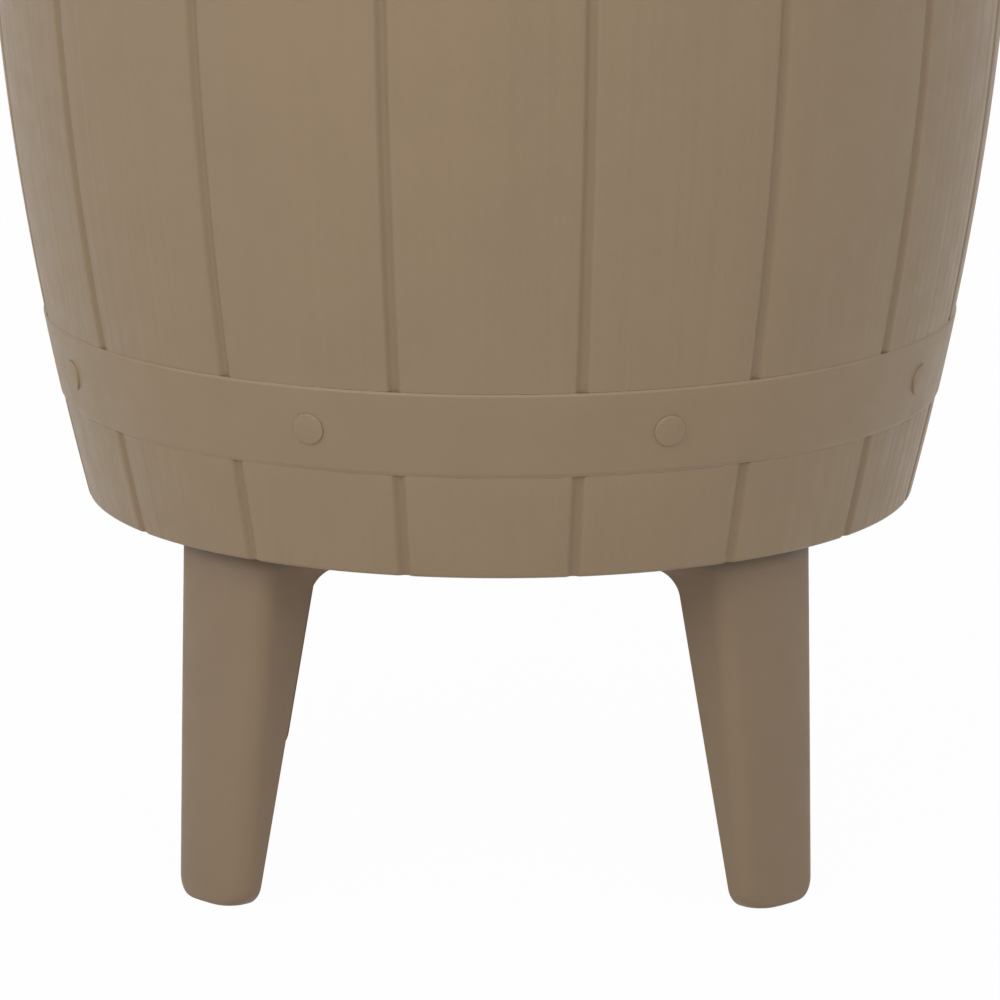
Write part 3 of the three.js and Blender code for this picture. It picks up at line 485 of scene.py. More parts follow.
def new_tree(name, sockets):
    """A Geometry Nodes tree with named inputs, its input node and its output node."""
    tree = bpy.data.node_groups.new(name, "GeometryNodeTree")
    tree.interface.new_socket("Geometry", in_out="OUTPUT", socket_type="NodeSocketGeometry")
    tree.interface.new_socket("Geometry", in_out="INPUT", socket_type="NodeSocketGeometry")
    for title, kind in sockets.items():
        tree.interface.new_socket(title, in_out="INPUT", socket_type="NodeSocket" + kind)
    return tree, add(tree, "NodeGroupInput"), tree.nodes.new("NodeGroupOutput")


def run_tree(piece, tree, values):
    """Runs a tree on a piece with its inputs set by name, and keeps the plain mesh."""
    modifier = piece.modifiers.new(tree.name, "NODES")
    modifier.node_group = tree
    identifiers = {s.name: s.identifier for s in tree.interface.items_tree if s.in_out == "INPUT"}
    for title, value in values.items():
        modifier[identifiers[title]] = value
    return plain(piece)


def ring_of_copies(tree, given, geometry):
    """Nodes that set copies of a pattern in a ring round the upright axis, each turned to face outwards."""
    step = add(tree, "ShaderNodeMath", {0: math.tau, 1: (given, "Count")}, operation="DIVIDE")
    index = add(tree, "GeometryNodeInputIndex")
    places = {0: index, 1: step, 2: (given, "First Angle")}
    turn = add(tree, "ShaderNodeMath", places, operation="MULTIPLY_ADD")
    east = add(tree, "ShaderNodeMath", {0: turn}, operation="COSINE")
    north = add(tree, "ShaderNodeMath", {0: turn}, operation="SINE")
    along_x = add(tree, "ShaderNodeMath", {0: east, 1: (given, "Radius")}, operation="MULTIPLY")
    along_y = add(tree, "ShaderNodeMath", {0: north, 1: (given, "Radius")}, operation="MULTIPLY")
    seat = add(tree, "ShaderNodeCombineXYZ", {0: along_x, 1: along_y, 2: (given, "Height")})
    facing = add(tree, "ShaderNodeCombineXYZ", {1: (given, "Tilt"), 2: turn})
    points = add(tree, "GeometryNodePoints", {"Count": (given, "Count"), "Position": seat})
    pattern = add(tree, "GeometryNodeGeometryToInstance", {0: geometry})
    settings = {"Points": points, "Instance": pattern, "Rotation": facing}
    copies = add(tree, "GeometryNodeInstanceOnPoints", settings)
    real = add(tree, "GeometryNodeRealizeInstances", {0: copies})
    welded = add(tree, "GeometryNodeMergeByDistance", {0: real, "Distance": (given, "Weld")})
    return add(tree, "GeometryNodeSetMaterial", {0: welded, "Material": (given, "Material")})


RING_SOCKETS = {
    "Count": "Int",
    "Radius": "Float",
    "Height": "Float",
    "First Angle": "Float",
    "Tilt": "Float",
    "Weld": "Float",
    "Material": "Material",
}


def ring_tree():
    """The tree that repeats a pattern in a ring, made once."""
    title = "Ring of Copies"
    if title in bpy.data.node_groups:
        return bpy.data.node_groups[title]
    tree, given, result = new_tree(title, RING_SOCKETS)
    tree.links.new(ring_of_copies(tree, given, (given, "Geometry")).outputs[0], result.inputs[0])
    return tree


def repeat(piece, count, first=0.0, radius=0.0, height=0.0, tilt=0.0):
    """Repeats a piece's mesh, which faces along +X, in a ring."""
    values = {
        "Count": count,
        "Radius": radius,
        "Height": height,
        "First Angle": first,
        "Tilt": tilt,
        "Weld": 0.001 * MM,
    }
    return run_tree(piece, ring_tree(), values)


def stave_tree():
    """The tree that bends a flat stave to the barrel's bulge and repeats it round the barrel."""
    sockets = {
        "Belly Radius": "Float",
        "Foot Radius": "Float",
        "Belly Height": "Float",
        "Bulge Power": "Float",
        "Underside": "Float",
    }
    tree, given, result = new_tree("Bent Staves", {**sockets, **RING_SOCKETS})
    flat = add(tree, "ShaderNodeSeparateXYZ", {0: add(tree, "GeometryNodeInputPosition")})
    edge = add(tree, "GeometryNodeInputNamedAttribute", {"Name": "edge"}, data_type="FLOAT")
    below = add(tree, "ShaderNodeMath", {0: (given, "Belly Height"), 1: (flat, "Z")}, operation="SUBTRACT")
    from_belly = add(tree, "ShaderNodeMath", {0: below}, operation="ABSOLUTE")
    share = add(tree, "ShaderNodeMath", {0: from_belly, 1: (given, "Belly Height")}, operation="DIVIDE")
    part = add(tree, "ShaderNodeMath", {0: share, 1: (given, "Bulge Power")}, operation="POWER")
    radii = {0: (given, "Belly Radius"), 1: (given, "Foot Radius")}
    spread = add(tree, "ShaderNodeMath", radii, operation="SUBTRACT")
    drawn_in = add(tree, "ShaderNodeMath", {0: spread, 1: part}, operation="MULTIPLY")
    bulge = add(tree, "ShaderNodeMath", {0: (given, "Belly Radius"), 1: drawn_in}, operation="SUBTRACT")
    radius = add(tree, "ShaderNodeMath", {0: bulge, 1: (flat, "Y")}, operation="ADD")
    aside = add(tree, "ShaderNodeMath", {0: edge, 1: bulge}, operation="DIVIDE")
    turn = add(tree, "ShaderNodeMath", {0: (flat, "X"), 1: aside}, operation="ADD")
    cosine = add(tree, "ShaderNodeMath", {0: turn}, operation="COSINE")
    sine = add(tree, "ShaderNodeMath", {0: turn}, operation="SINE")
    east = add(tree, "ShaderNodeMath", {0: radius, 1: cosine}, operation="MULTIPLY")
    north = add(tree, "ShaderNodeMath", {0: radius, 1: sine}, operation="MULTIPLY")
    up = add(tree, "ShaderNodeMath", {0: (flat, "Z"), 1: (given, "Underside")}, operation="ADD")
    seat = add(tree, "ShaderNodeCombineXYZ", {0: east, 1: north, 2: up})
    bent = add(tree, "GeometryNodeSetPosition", {"Geometry": (given, "Geometry"), "Position": seat})
    tree.links.new(ring_of_copies(tree, given, bent).outputs[0], result.inputs[0])
    return tree


# Materials

# How long a streak of the pressed grain is for its width, and the radius in metres where its width is right
GRAIN_STRETCH, GRAIN_RADIUS = 45, 0.22
# Painted shade below the seam under the barrel's rim: where it starts, where it is full, and how much it
# darkens
SEAM_START, SEAM_FULL, SEAM_PAINTED_SHADE = 10 * MM, 3 * MM, 0.42
# How much roughness falls with each unit of the rivets' painted highlight, and rises with each unit of
# painted shade
SLICKNESS = 0.4


def new_material(name):
    """A material with its tree, its surface shader and where a point of the object lies in metres."""
    material = bpy.data.materials.new(name)
    material.use_nodes = True
    tree = material.node_tree
    tree.nodes.clear()
    shader = add(tree, "ShaderNodeBsdfPrincipled")
    output = add(tree, "ShaderNodeOutputMaterial")
    tree.links.new(shader.outputs[0], output.inputs[0])
    where = (add(tree, "ShaderNodeTexCoord"), "Object")
    return material, tree, shader, where


def noise_inputs(where, size, detail=2.0, roughness=0.5):
    """The inputs of noise whose features have a size in mm."""
    return {"Vector": where, "Scale": 1 / (size * MM), "Detail": detail, "Roughness": roughness}


def range_inputs(noise, low, high):
    """The inputs that stretch noise, most of which lies from 0.3 to 0.7, over a range."""
    return {"Value": noise, "From Min": 0.3, "From Max": 0.7, "To Min": low, "To Max": high}


def grain_place(tree, where, lay):
    """Where a point lies in the wood's grain, which is drawn out along the staves or along the planks."""
    axes = add(tree, "ShaderNodeSeparateXYZ", {0: where})
    if lay == "planks":
        along = add(tree, "ShaderNodeMath", {0: (axes, "Y"), 1: 1 / GRAIN_STRETCH}, operation="MULTIPLY")
        return add(tree, "ShaderNodeCombineXYZ", {0: (axes, "X"), 1: along, 2: (axes, "Z")})
    level = add(tree, "ShaderNodeCombineXYZ", {0: (axes, "X"), 1: (axes, "Y")})
    outward = add(tree, "ShaderNodeVectorMath", {0: level}, operation="NORMALIZE")
    around = add(tree, "ShaderNodeVectorMath", {0: outward, 3: GRAIN_RADIUS}, operation="SCALE")
    along = add(tree, "ShaderNodeMath", {0: (axes, "Z"), 1: 1 / GRAIN_STRETCH}, operation="MULTIPLY")
    upward = add(tree, "ShaderNodeCombineXYZ", {2: along})
    return add(tree, "ShaderNodeVectorMath", {0: around, 1: upward}, operation="ADD")


def dress(tree, shader, colour_value, shade, rough, heights):
    """Gives a shader its colour times a shade, its roughness, and relief as (height, depth in mm) pairs."""
    tint = add(tree, "ShaderNodeVectorMath", {0: tuple(colour_value), 3: shade}, operation="SCALE")
    tree.links.new(tint.outputs[0], shader.inputs["Base Color"])
    tree.links.new(rough.outputs[0], shader.inputs["Roughness"])
    normal = None
    for height, depth in heights:
        settings = {"Height": height, "Strength": 1.0, "Distance": depth * MM}
        if normal:
            settings["Normal"] = normal
        normal = add(tree, "ShaderNodeBump", settings)
    tree.links.new(normal.outputs[0], shader.inputs["Normal"])


def moulded_resin(name, colour_value, lay=None, base_roughness=0.5, seam=None):
    """Injection-moulded polypropylene in one solid colour: satin, with a fine spark-eroded tooth and, where
    lay says so, the pressed grain of a plank. The pigment is even, so what the eye gets is soft sheen, not
    pattern."""
    material, tree, shader, where = new_material(name)
    shader.inputs["IOR"].default_value = 1.49
    mottle = add(tree, "ShaderNodeTexNoise", noise_inputs(where, 38, 3))
    shade = add(tree, "ShaderNodeMapRange", range_inputs(mottle, 0.98, 1.02))
    # Painted shade darkens the gaps between the staves, and a painted highlight makes the rivets' walls pale;
    # the same attribute makes those walls slick. The attribute holds what either adds to the shade.
    tone = add(tree, "ShaderNodeAttribute", attribute_name="tone")
    shade = add(tree, "ShaderNodeMath", {0: shade, 1: (tone, "Fac")}, operation="ADD")
    if seam:
        # Painted shade also darkens the seam under the barrel's rim
        axes = add(tree, "ShaderNodeSeparateXYZ", {0: where})
        settings = {"Value": (axes, "Z"), "From Min": seam - SEAM_START, "From Max": seam - SEAM_FULL}
        settings["To Max"] = SEAM_PAINTED_SHADE
        painted_shade = add(tree, "ShaderNodeMapRange", settings, interpolation_type="SMOOTHSTEP")
        shade = add(tree, "ShaderNodeMath", {0: shade, 1: painted_shade}, operation="SUBTRACT")
    # Real tooth is about 0.2 mm wide, which is too fine to show, so it is drawn 0.9 mm wide
    tooth = add(tree, "ShaderNodeTexNoise", noise_inputs(where, 0.9))
    heights = [(add(tree, "ShaderNodeMapRange", range_inputs(tooth, 0, 1)), 0.05)]
    if lay:
        grain = grain_place(tree, where, lay)
        # Pressed grain: soft ridges about 7 mm apart, with a fainter line in them about every 3 mm
        fine = add(tree, "ShaderNodeTexNoise", noise_inputs(grain, 3, 1, 0.4))
        broad = add(tree, "ShaderNodeTexNoise", noise_inputs(grain, 7, 1, 0.4))
        mask = add(tree, "ShaderNodeAttribute", attribute_name="grain")
        fine_height = add(tree, "ShaderNodeMapRange", range_inputs(fine, 0, 1))
        broad_height = add(tree, "ShaderNodeMapRange", range_inputs(broad, 0, 1))
        ridges = {0: broad_height, 1: 3.0, 2: fine_height}
        both = add(tree, "ShaderNodeMath", ridges, operation="MULTIPLY_ADD")
        pressed = add(tree, "ShaderNodeMath", {0: both, 1: (mask, "Fac")}, operation="MULTIPLY")
        heights.append((pressed, 0.1))
        streak = add(tree, "ShaderNodeMapRange", range_inputs(broad, -0.008, 0.008))
        masked = add(tree, "ShaderNodeMath", {0: streak, 1: (mask, "Fac")}, operation="MULTIPLY")
        shade = add(tree, "ShaderNodeMath", {0: shade, 1: masked}, operation="ADD")
    rub = add(tree, "ShaderNodeTexNoise", noise_inputs(where, 14, 3, 0.6))
    rough = add(tree, "ShaderNodeMapRange", range_inputs(rub, base_roughness - 0.05, base_roughness + 0.06))
    rough_by_tone = {0: (tone, "Fac"), 1: -SLICKNESS, 2: rough}
    rough = add(tree, "ShaderNodeMath", rough_by_tone, operation="MULTIPLY_ADD")
    dress(tree, shader, colour_value, shade, rough, heights)
    return material


def bearing_resin(name, colour_value):
    """Acetal for sliding faces: harder and slicker than the shell, with faint rubbed rings from use."""
    material, tree, shader, where = new_material(name)
    shader.inputs["IOR"].default_value = 1.48
    mottle = add(tree, "ShaderNodeTexNoise", noise_inputs(where, 20))
    shade = add(tree, "ShaderNodeMapRange", range_inputs(mottle, 0.97, 1.03))
    axes = add(tree, "ShaderNodeSeparateXYZ", {0: where})
    level = add(tree, "ShaderNodeCombineXYZ", {2: (axes, "Z")})
    rings = add(tree, "ShaderNodeTexNoise", noise_inputs(level, 1.2))
    rough = add(tree, "ShaderNodeMapRange", range_inputs(rings, 0.24, 0.4))
    dress(tree, shader, colour_value, shade, rough, [(rings, 0.02)])
    return material


def gasket_rubber(name, colour_value):
    """Moulded EPDM rubber: near black and matt, with a fine pitted skin and grey bloom in patches."""
    material, tree, shader, where = new_material(name)
    shader.inputs["IOR"].default_value = 1.52
    bloom = add(tree, "ShaderNodeTexNoise", noise_inputs(where, 9, 4, 0.6))
    shade = add(tree, "ShaderNodeMapRange", range_inputs(bloom, 0.8, 1.5))
    rough = add(tree, "ShaderNodeMapRange", range_inputs(bloom, 0.72, 0.86))
    # Real pits are about 0.1 mm wide, and are drawn 0.6 mm wide so that they show
    pits = add(tree, "ShaderNodeTexNoise", noise_inputs(where, 0.6))
    dress(tree, shader, colour_value, shade, rough, [(pits, 0.05)])
    return material


def screw_steel(name, colour_value):
    """Cold-headed stainless steel, tumbled: bright, with a fine random grain of tiny dents."""
    material, tree, shader, where = new_material(name)
    shader.inputs["Metallic"].default_value = 1.0
    tumbled = add(tree, "ShaderNodeTexNoise", noise_inputs(where, 2.5, 3))
    shade = add(tree, "ShaderNodeMapRange", range_inputs(tumbled, 0.9, 1.06))
    # Real dents are about 0.1 mm wide, and are drawn 0.5 mm wide so that they show
    dents = add(tree, "ShaderNodeTexNoise", noise_inputs(where, 0.5, 3, 0.6))
    rough = add(tree, "ShaderNodeMapRange", range_inputs(dents, 0.2, 0.36))
    dress(tree, shader, colour_value, shade, rough, [(dents, 0.015)])
    return material


def finish_of(name, maker, colour_value, **settings):
    """A material by name, made at its first use."""
    return bpy.data.materials.get(name) or maker(name, colour_value, **settings)


def shell_resin():
    """The shell's polypropylene, with the grain pressed along the staves."""
    resin = bpy.context.scene.barrel_sizes.resin
    return finish_of("pressed_grain_resin", moulded_resin, resin, lay="staves")


def leg_resin():
    """The legs' polypropylene, without grain and with painted shade under the barrel's rim."""
    resin = bpy.context.scene.leg_sizes.resin
    return finish_of("plain_leg_resin", moulded_resin, resin, seam=shell_low.z)


def deck_resin():
    """The tabletop's polypropylene, with the grain pressed along the planks."""
    resin = bpy.context.scene.top_sizes.resin
    return finish_of("pressed_plank_resin", moulded_resin, resin, lay="planks")


def pan_resin():
    """The same polypropylene from a plain mould, for the pieces under the tabletop and in the bucket."""
    return finish_of("plain_pan_resin", moulded_resin, bpy.context.scene.top_sizes.resin)


def liner_resin():
    """The bucket's pale polypropylene, from a polished mould that leaves it shinier than the rest."""
    resin = bpy.context.scene.inside_sizes.bucket
    return finish_of("pale_liner_resin", moulded_resin, resin, base_roughness=0.34)


def bearing_finish():
    """The acetal of the glide ring and the tube's foot."""
    return finish_of("acetal_bearing", bearing_resin, bpy.context.scene.inside_sizes.bearing)


def rubber_finish():
    """The rubber of the gaskets and the washer."""
    return finish_of("black_epdm_rubber", gasket_rubber, bpy.context.scene.inside_sizes.rubber)


def steel_finish():
    """The steel of every screw."""
    return finish_of("stainless_screw", screw_steel, bpy.context.scene.screw_sizes.steel)


# Pieces


def stave_radius(sizes, height):
    """Axis to the face of the staves at a height over the barrel's underside."""
    share = abs(sizes.belly_height - height) / sizes.belly_height
    return sizes.belly_radius - (sizes.belly_radius - sizes.foot_radius) * share**sizes.bulge_power


def span(start, end, steps):
    """Even places from a start to an end, without the end."""
    return [start + (end - start) * i / steps for i in range(steps)]


def stave_rows(sizes, top):
    """Rows up the outside of a stave and down its inside. Each row holds its height, how far its face and its
    groove stand off the bulge, the groove None where there is none, and how much of the grain it shows."""
    wall, deep, proud = sizes.wall, sizes.groove_depth, sizes.hoop_proud
    # Rows stand a pace apart, a crease keeps a hoop's foot sharp, and the top edge and inner corner are round
    pace, crease, sunk, edge, corner = 9 * MM, 0.2 * MM, 0.05 * MM, 1 * MM, 6 * MM
    underside, above_hoop = sizes.rim_round + 4 * MM, 5 * MM
    rows = [(0, -stave_radius(sizes, 0), None, 0), (0, -underside, None, 0)]
    for a in span(0, math.pi / 2, 7):
        inward = sizes.rim_round * (1 - math.sin(a))
        rows.append((sizes.rim_round * (1 - math.cos(a)), -inward, -inward - deep, 1))
    slope, lip = sizes.hoop_slope, sizes.hoop_lip
    # How a hoop's edge rises: shares of the slope's height, and of the hoop's thickness there
    rise = ((0.15, 0.14), (0.5, 0.5), (0.85, 0.86), (1, 0.98), (1.15, 1))
    # Past its upper edge a hoop keeps a sliver of its thickness, which runs out over a little height
    sliver, run_out = 0.02 * proud, 0.15 * slope
    hoops = (sizes.lower_hoop, top - sizes.upper_hoop_drop - sizes.hoop_width)
    low = sizes.rim_round
    for hoop in hoops:
        steps = max(4, round((hoop - low) / pace))
        rows += [(z, 0, -deep, 1) for z in span(low, hoop - crease, steps)]
        rows += [(hoop - crease, 0, -deep, 1), (hoop, -sunk, -deep, 0)]
        high = hoop + sizes.hoop_width
        rows += [(hoop + lip * t, proud * part, None, 0) for t, part in rise]
        rows += [(z, proud, None, 0) for z in span(hoop + 2 * lip, high - 2 * slope, 4)]
        rows += [(high - slope * t, proud * part, None, 0) for t, part in reversed(rise)]
        low = high + run_out
        rows += [(high, sliver, -deep, 0), (low, 0, -deep, 1)]
    rows += [(z, 0, -deep, 1) for z in span(low + above_hoop, top - edge, 3)]
    rows += [(top - edge, 0, -deep, 1), (top - 0.3 * edge, -0.3 * edge, -deep, 1), (top, -edge, -deep, 0)]
    rows += [(z, -wall, None, 0) for z in span(top, wall + corner, 12)]
    for a in span(0, math.pi / 2, 4) + [math.pi / 2]:
        rows.append((wall + corner * (1 - math.sin(a)), -wall - corner * (1 - math.cos(a)), None, 0))
    rows.append((wall, -stave_radius(sizes, wall), None, 0))
    return rows


def stave_columns(sizes):
    """Columns across a stave. Each holds its share of the stave's angle, its distance from the groove's
    middle and its share of the groove's depth."""
    start = (sizes.groove_width - sizes.groove_soft) / 2
    wall = [(start + sizes.groove_soft * t, (1 + math.cos(math.pi * t)) / 2) for t in span(0, 1, 9) + [1]]
    edge = [(0, 1), *wall]
    left = [(-0.5, across, deep) for across, deep in edge]
    right = [(0.5, -across, deep) for across, deep in reversed(edge)]
    outer = edge[-1][0]
    middle = [(t - 0.5, outer * (1 - 2 * t), 0) for t in span(0, 1, 10)[1:]]
    return left + middle + right


def barrel_shell(sizes):
    """The shell as one flat stave, which the tree bends and repeats."""
    top = shell_high.z - shell_low.z
    rows, columns = stave_rows(sizes, top), stave_columns(sizes)
    pitch = math.tau / sizes.stave_count
    points, edges, grains, tones = [], [], [], []
    for height, face, groove, grain in rows:
        for share, from_groove, deep in columns:
            offset = face if groove is None else face + (groove - face) * deep
            points.append((share * pitch, offset, height))
            edges.append(from_groove)
            grains.append(grain * (1 - deep))
            # Painted shade in the grooves, as deep as each groove
            tones.append(-sizes.groove_painted_shade * (deep if groove is not None else 0))
    wide = len(columns)
    faces = [
        (a, a + 1, a + 1 + wide, a + wide)
        for row in range(len(rows) - 1)
        for a in range(row * wide, row * wide + wide - 1)
    ]
    mesh = bpy.data.meshes.new("barrel_shell")
    mesh.from_pydata(points, [], faces)
    for title, values in (("edge", edges), ("grain", grains), ("tone", tones)):
        mesh.attributes.new(title, "FLOAT", "POINT").data.foreach_set("value", values)
    piece = bpy.data.objects.new("barrel_shell", mesh)
    bpy.context.scene.collection.objects.link(piece)
    values = {
        "Belly Radius": sizes.belly_radius,
        "Foot Radius": sizes.foot_radius,
        "Belly Height": sizes.belly_height,
        "Bulge Power": sizes.bulge_power,
        "Underside": shell_low.z,
        "Count": sizes.stave_count,
        "Radius": 0.0,
        "Height": 0.0,
        "First Angle": FRONT + sizes.stave_turn,
        "Tilt": 0.0,
        "Weld": 0.02 * MM,
        "Material": shell_resin(),
    }
    return close(run_tree(piece, stave_tree(), values))


def rivet(sizes):
    """A flat rivet head that points along +X, its foot sunk in the hoop."""
    radius, proud, sunk = (size / MM for size in (sizes.rivet_radius, sizes.rivet_proud, sizes.hoop_proud))
    facets, soft, wall = 48, 0.4, 0.99 * sizes.rivet_radius
    head = turned("hoop_rivets", [(0, -sunk), (radius, -sunk), (radius, proud), (0, proud)], facets, soft)
    # Painted highlight that makes the rivets' walls pale
    tones = [sizes.rivet_painted_highlight * (point.co.xy.length > wall) for point in head.data.vertices]
    head.data.attributes.new("tone", "FLOAT", "POINT").data.foreach_set("value", tones)
    return place(head, Matrix.Rotation(math.pi / 2, 4, "Y"))


class MakeBarrel(bpy.types.Operator):
    """Builds the barrel's shell with its staves, hoops and rivets"""

    bl_idname = "cooler_table.make_barrel"
    bl_label = "Barrel"

    def execute(self, context):
        sizes = context.scene.barrel_sizes
        shell = barrel_shell(sizes)
        mm, underside = in_mm(context.scene.inside_sizes), shell_low.z / MM
        below, above, play = 2, 8, 0.6
        hole, centre = mm.spout_bore + mm.spout_wall + play, (0, mm.drain_setback)
        combine(shell, [rod("drain_hole", hole, underside - below, underside + above, centre, facets=48)])
        settle(smooth(shell, degrees=38), shell_resin(), "root", "taupe_resin", "barrel")
        top = shell_high.z - shell_low.z
        lower = sizes.lower_hoop + sizes.hoop_width / 2
        upper = top - sizes.upper_hoop_drop - sizes.hoop_width / 2
        rings = []
        for middle in (lower, upper):
            under, over = (stave_radius(sizes, middle + step) for step in (-MM, MM))
            lean = math.atan((over - under) / (2 * MM))
            radius = stave_radius(sizes, middle) + sizes.hoop_proud
            first = FRONT + sizes.stave_turn + math.pi / sizes.rivet_count
            rings.append(repeat(rivet(sizes), sizes.rivet_count, first, radius, shell_low.z + middle, lean))
        rivets = smooth(join("hoop_rivets", rings))
        settle(rivets, shell_resin(), "root", "taupe_resin")
        return {"FINISHED"}


def leg_section(sizes, height, top, inset=0.0, extra=0.0):
    """Closed outline of a leg that points along +X at a height, drawn in by a wall."""
    share = height / top
    flare_bottom = top - sizes.shoe - sizes.flare
    up = min(max((height - flare_bottom) / sizes.flare, 0), 1)
    flare = sizes.flare * (1 - math.sqrt(1 - up * up))

    def rounded_in(radius):
        return radius - math.sqrt(radius**2 - (radius - height) ** 2) if height < radius else 0

    def between(foot, head):
        return foot + (head - foot) * share

    sole = rounded_in(sizes.sole_round)
    outer = between(sizes.foot_radius, sizes.top_radius) - inset - sole
    half = between(sizes.foot_half, sizes.top_half) - inset - rounded_in(sizes.foot_round)
    corner = max(sizes.corner - inset, sizes.corner / 4)
    depth = between(sizes.foot_depth, sizes.top_depth) + flare + extra - sole
    curve = sizes.face_radius - inset
    middle = outer - curve
    reach = math.sqrt((curve - corner) ** 2 - (half - corner) ** 2)
    lean = math.atan2(half - corner, reach)
    back, front = outer - depth, middle + reach
    spread = flare * sizes.back_flare
    side = [(back + (front - back) * t, half + spread * (1 - t) ** 2) for t in span(0, 1, 4)]
    for a in span(math.pi / 2, lean, 8):
        side.append((front + corner * math.cos(a), half - corner + corner * math.sin(a)))
    side += [(middle + curve * math.cos(a), curve * math.sin(a)) for a in span(lean, 0, 6)]
    outline = side + [(outer, 0)] + [(x, -y) for x, y in reversed(side)]
    return [(x, y, height) for x, y in reversed(outline)]


def leg_solid(sizes, top):
    """One leg that points along +X, open at the back between its ribs, with its screw tab."""
    flare_bottom = top - sizes.shoe - sizes.flare
    # The foot's rounding is taken up where the sole's has ended, and every cut goes past what it cuts
    sole_end, past = 0.7, 2
    heights = [sizes.sole_round * (1 - math.cos(a)) for a in span(0, math.pi / 2, 5)]
    heights += [sizes.foot_round * (1 - math.cos(a)) for a in span(sole_end, math.pi / 2, 5)]
    heights += span(sizes.foot_round, flare_bottom, 9)
    heights += [flare_bottom + sizes.flare * math.sin(a) for a in span(0, math.pi / 2, 10)]
    heights += [top - sizes.shoe, top - sizes.shoe / 2, top]
    leg = lofted("legs", [leg_section(sizes, z, top) for z in heights])
    pitch = (top - sizes.plate - sizes.sole + sizes.rib) / sizes.pocket_count
    for i in range(sizes.pocket_count):
        low = sizes.sole + pitch * i
        high = low + pitch - sizes.rib
        levels = [low] + [z for z in heights if low < z < high] + [high]
        combine(leg, [lofted("pocket", [leg_section(sizes, z, top, sizes.wall, past * MM) for z in levels])])
    back = (sizes.top_radius - sizes.top_depth - sizes.flare) / MM
    low, high = (top - sizes.plate) / MM, top / MM
    half, tab = sizes.top_half / MM, sizes.tab / MM
    combine(leg, [block("tab", (back - tab, -half, low), (back + sizes.flare / MM, half, high))], "UNION")
    spread, hole = sizes.screw_spread / MM, sizes.screw_hole / MM
    places = [(back - tab / 2, y) for y in (-spread, spread)]
    return combine(leg, [rod("hole", hole, low - past, high + past, centre, facets=24) for centre in places])


class MakeLegs(bpy.types.Operator):
    """Builds the four legs"""

    bl_idname = "cooler_table.make_legs"
    bl_label = "Legs"

    def execute(self, context):
        sizes = context.scene.leg_sizes
        top = shell_low.z - context.scene.inside_sizes.fit
        legs = repeat(close(leg_solid(sizes, top)), sizes.count, math.pi / sizes.count)
        nodes = ["leg_" + side for side in ("front_left", "front_right", "rear_left", "rear_right")]
        settle(smooth(legs, degrees=30), leg_resin(), "root", "taupe_resin", *nodes)
        return {"FINISHED"}


def plank_outline(low, high, radius, steps=24):
    """Outline of a plank between two places along X, ended by a circle."""

    def side(x, sign):
        return (x, sign * math.sqrt(max(radius**2 - x**2, 0)))

    across = [low + (high - low) * i / steps for i in range(steps + 1)]
    return [side(x, -1) for x in across] + [side(x, 1) for x in reversed(across)]


def planks(sizes, radius, floor_level, top_level):
    """Raised faces of the planks, with rounded edges, sunk a little in the tabletop."""
    gap, soft = sizes.groove_width, sizes.plank_round
    width = 2 * (radius + gap) / sizes.plank_count
    # The outer planks end a hair inside the circle, and a plank's rounding starts at an angle off the upright
    hair, start = 0.01 * MM, 0.3
    made = []
    for i in range(sizes.plank_count):
        low = -radius - gap + width * i + gap / 2
        high = low + width - gap
        low, high = max(low, -radius + hair), min(high, radius - hair)
        rings = []
        levels = [(0, floor_level - soft / 2), (0, top_level - soft)]
        for a in span(start, math.pi / 2, 4):
            levels.append((soft * (1 - math.cos(a)), top_level - soft * (1 - math.sin(a))))
        levels.append((soft, top_level))
        for inward, z in levels:
            outline = plank_outline(low + inward, high - inward, radius - inward)
            rings.append([(x, y, z) for x, y in outline])
        made.append(lofted("plank", rings))
    return made


class MakeTabletop(bpy.types.Operator):
    """Builds the planked tabletop with its rim and skirt"""

    bl_idname = "cooler_table.make_tabletop"
    bl_label = "Tabletop"

    def execute(self, context):
        sizes = context.scene.top_sizes
        mm, (low, high) = in_mm(sizes), box_mm("tabletop_deck")
        outer, top, low = high.x, high.z, low.z
        plank_top = top - mm.rim_raise
        skin_low = plank_top - mm.skin
        inner = outer - mm.skirt
        rim = outer - mm.rim_width
        field = rim - mm.rim_raise - mm.groove_width
        floor_level = plank_top - mm.groove_depth
        edge = [
            (outer - mm.edge_round * (1 - math.cos(a)), top - mm.edge_round * (1 - math.sin(a)))
            for a in span(0, math.pi / 2, 8) + [math.pi / 2]
        ]
        profile = [(inner, low), (outer, low), *edge, (rim, top), (rim - mm.rim_raise, plank_top)]
        profile += [(field, plank_top), (field, floor_level), (0, floor_level)]
        profile += [(0, skin_low), (inner, skin_low)]
        deck = turned("deck", profile, WIDEST, mm.soft)
        made = planks(sizes, field * MM - sizes.groove_width, floor_level * MM, plank_top * MM)
        top_piece = join("tabletop_planked", [deck, *made])
        # The grain is pressed in the upper side alone, from 1 mm above the skin's underside
        grained = [float(v.co.z > (skin_low + 1) * MM) for v in top_piece.data.vertices]
        top_piece.data.attributes.new("grain", "FLOAT", "POINT").data.foreach_set("value", grained)
        settle(smooth(top_piece), deck_resin(), "tabletop", "taupe_resin", "tabletop_deck")
        return {"FINISHED"}


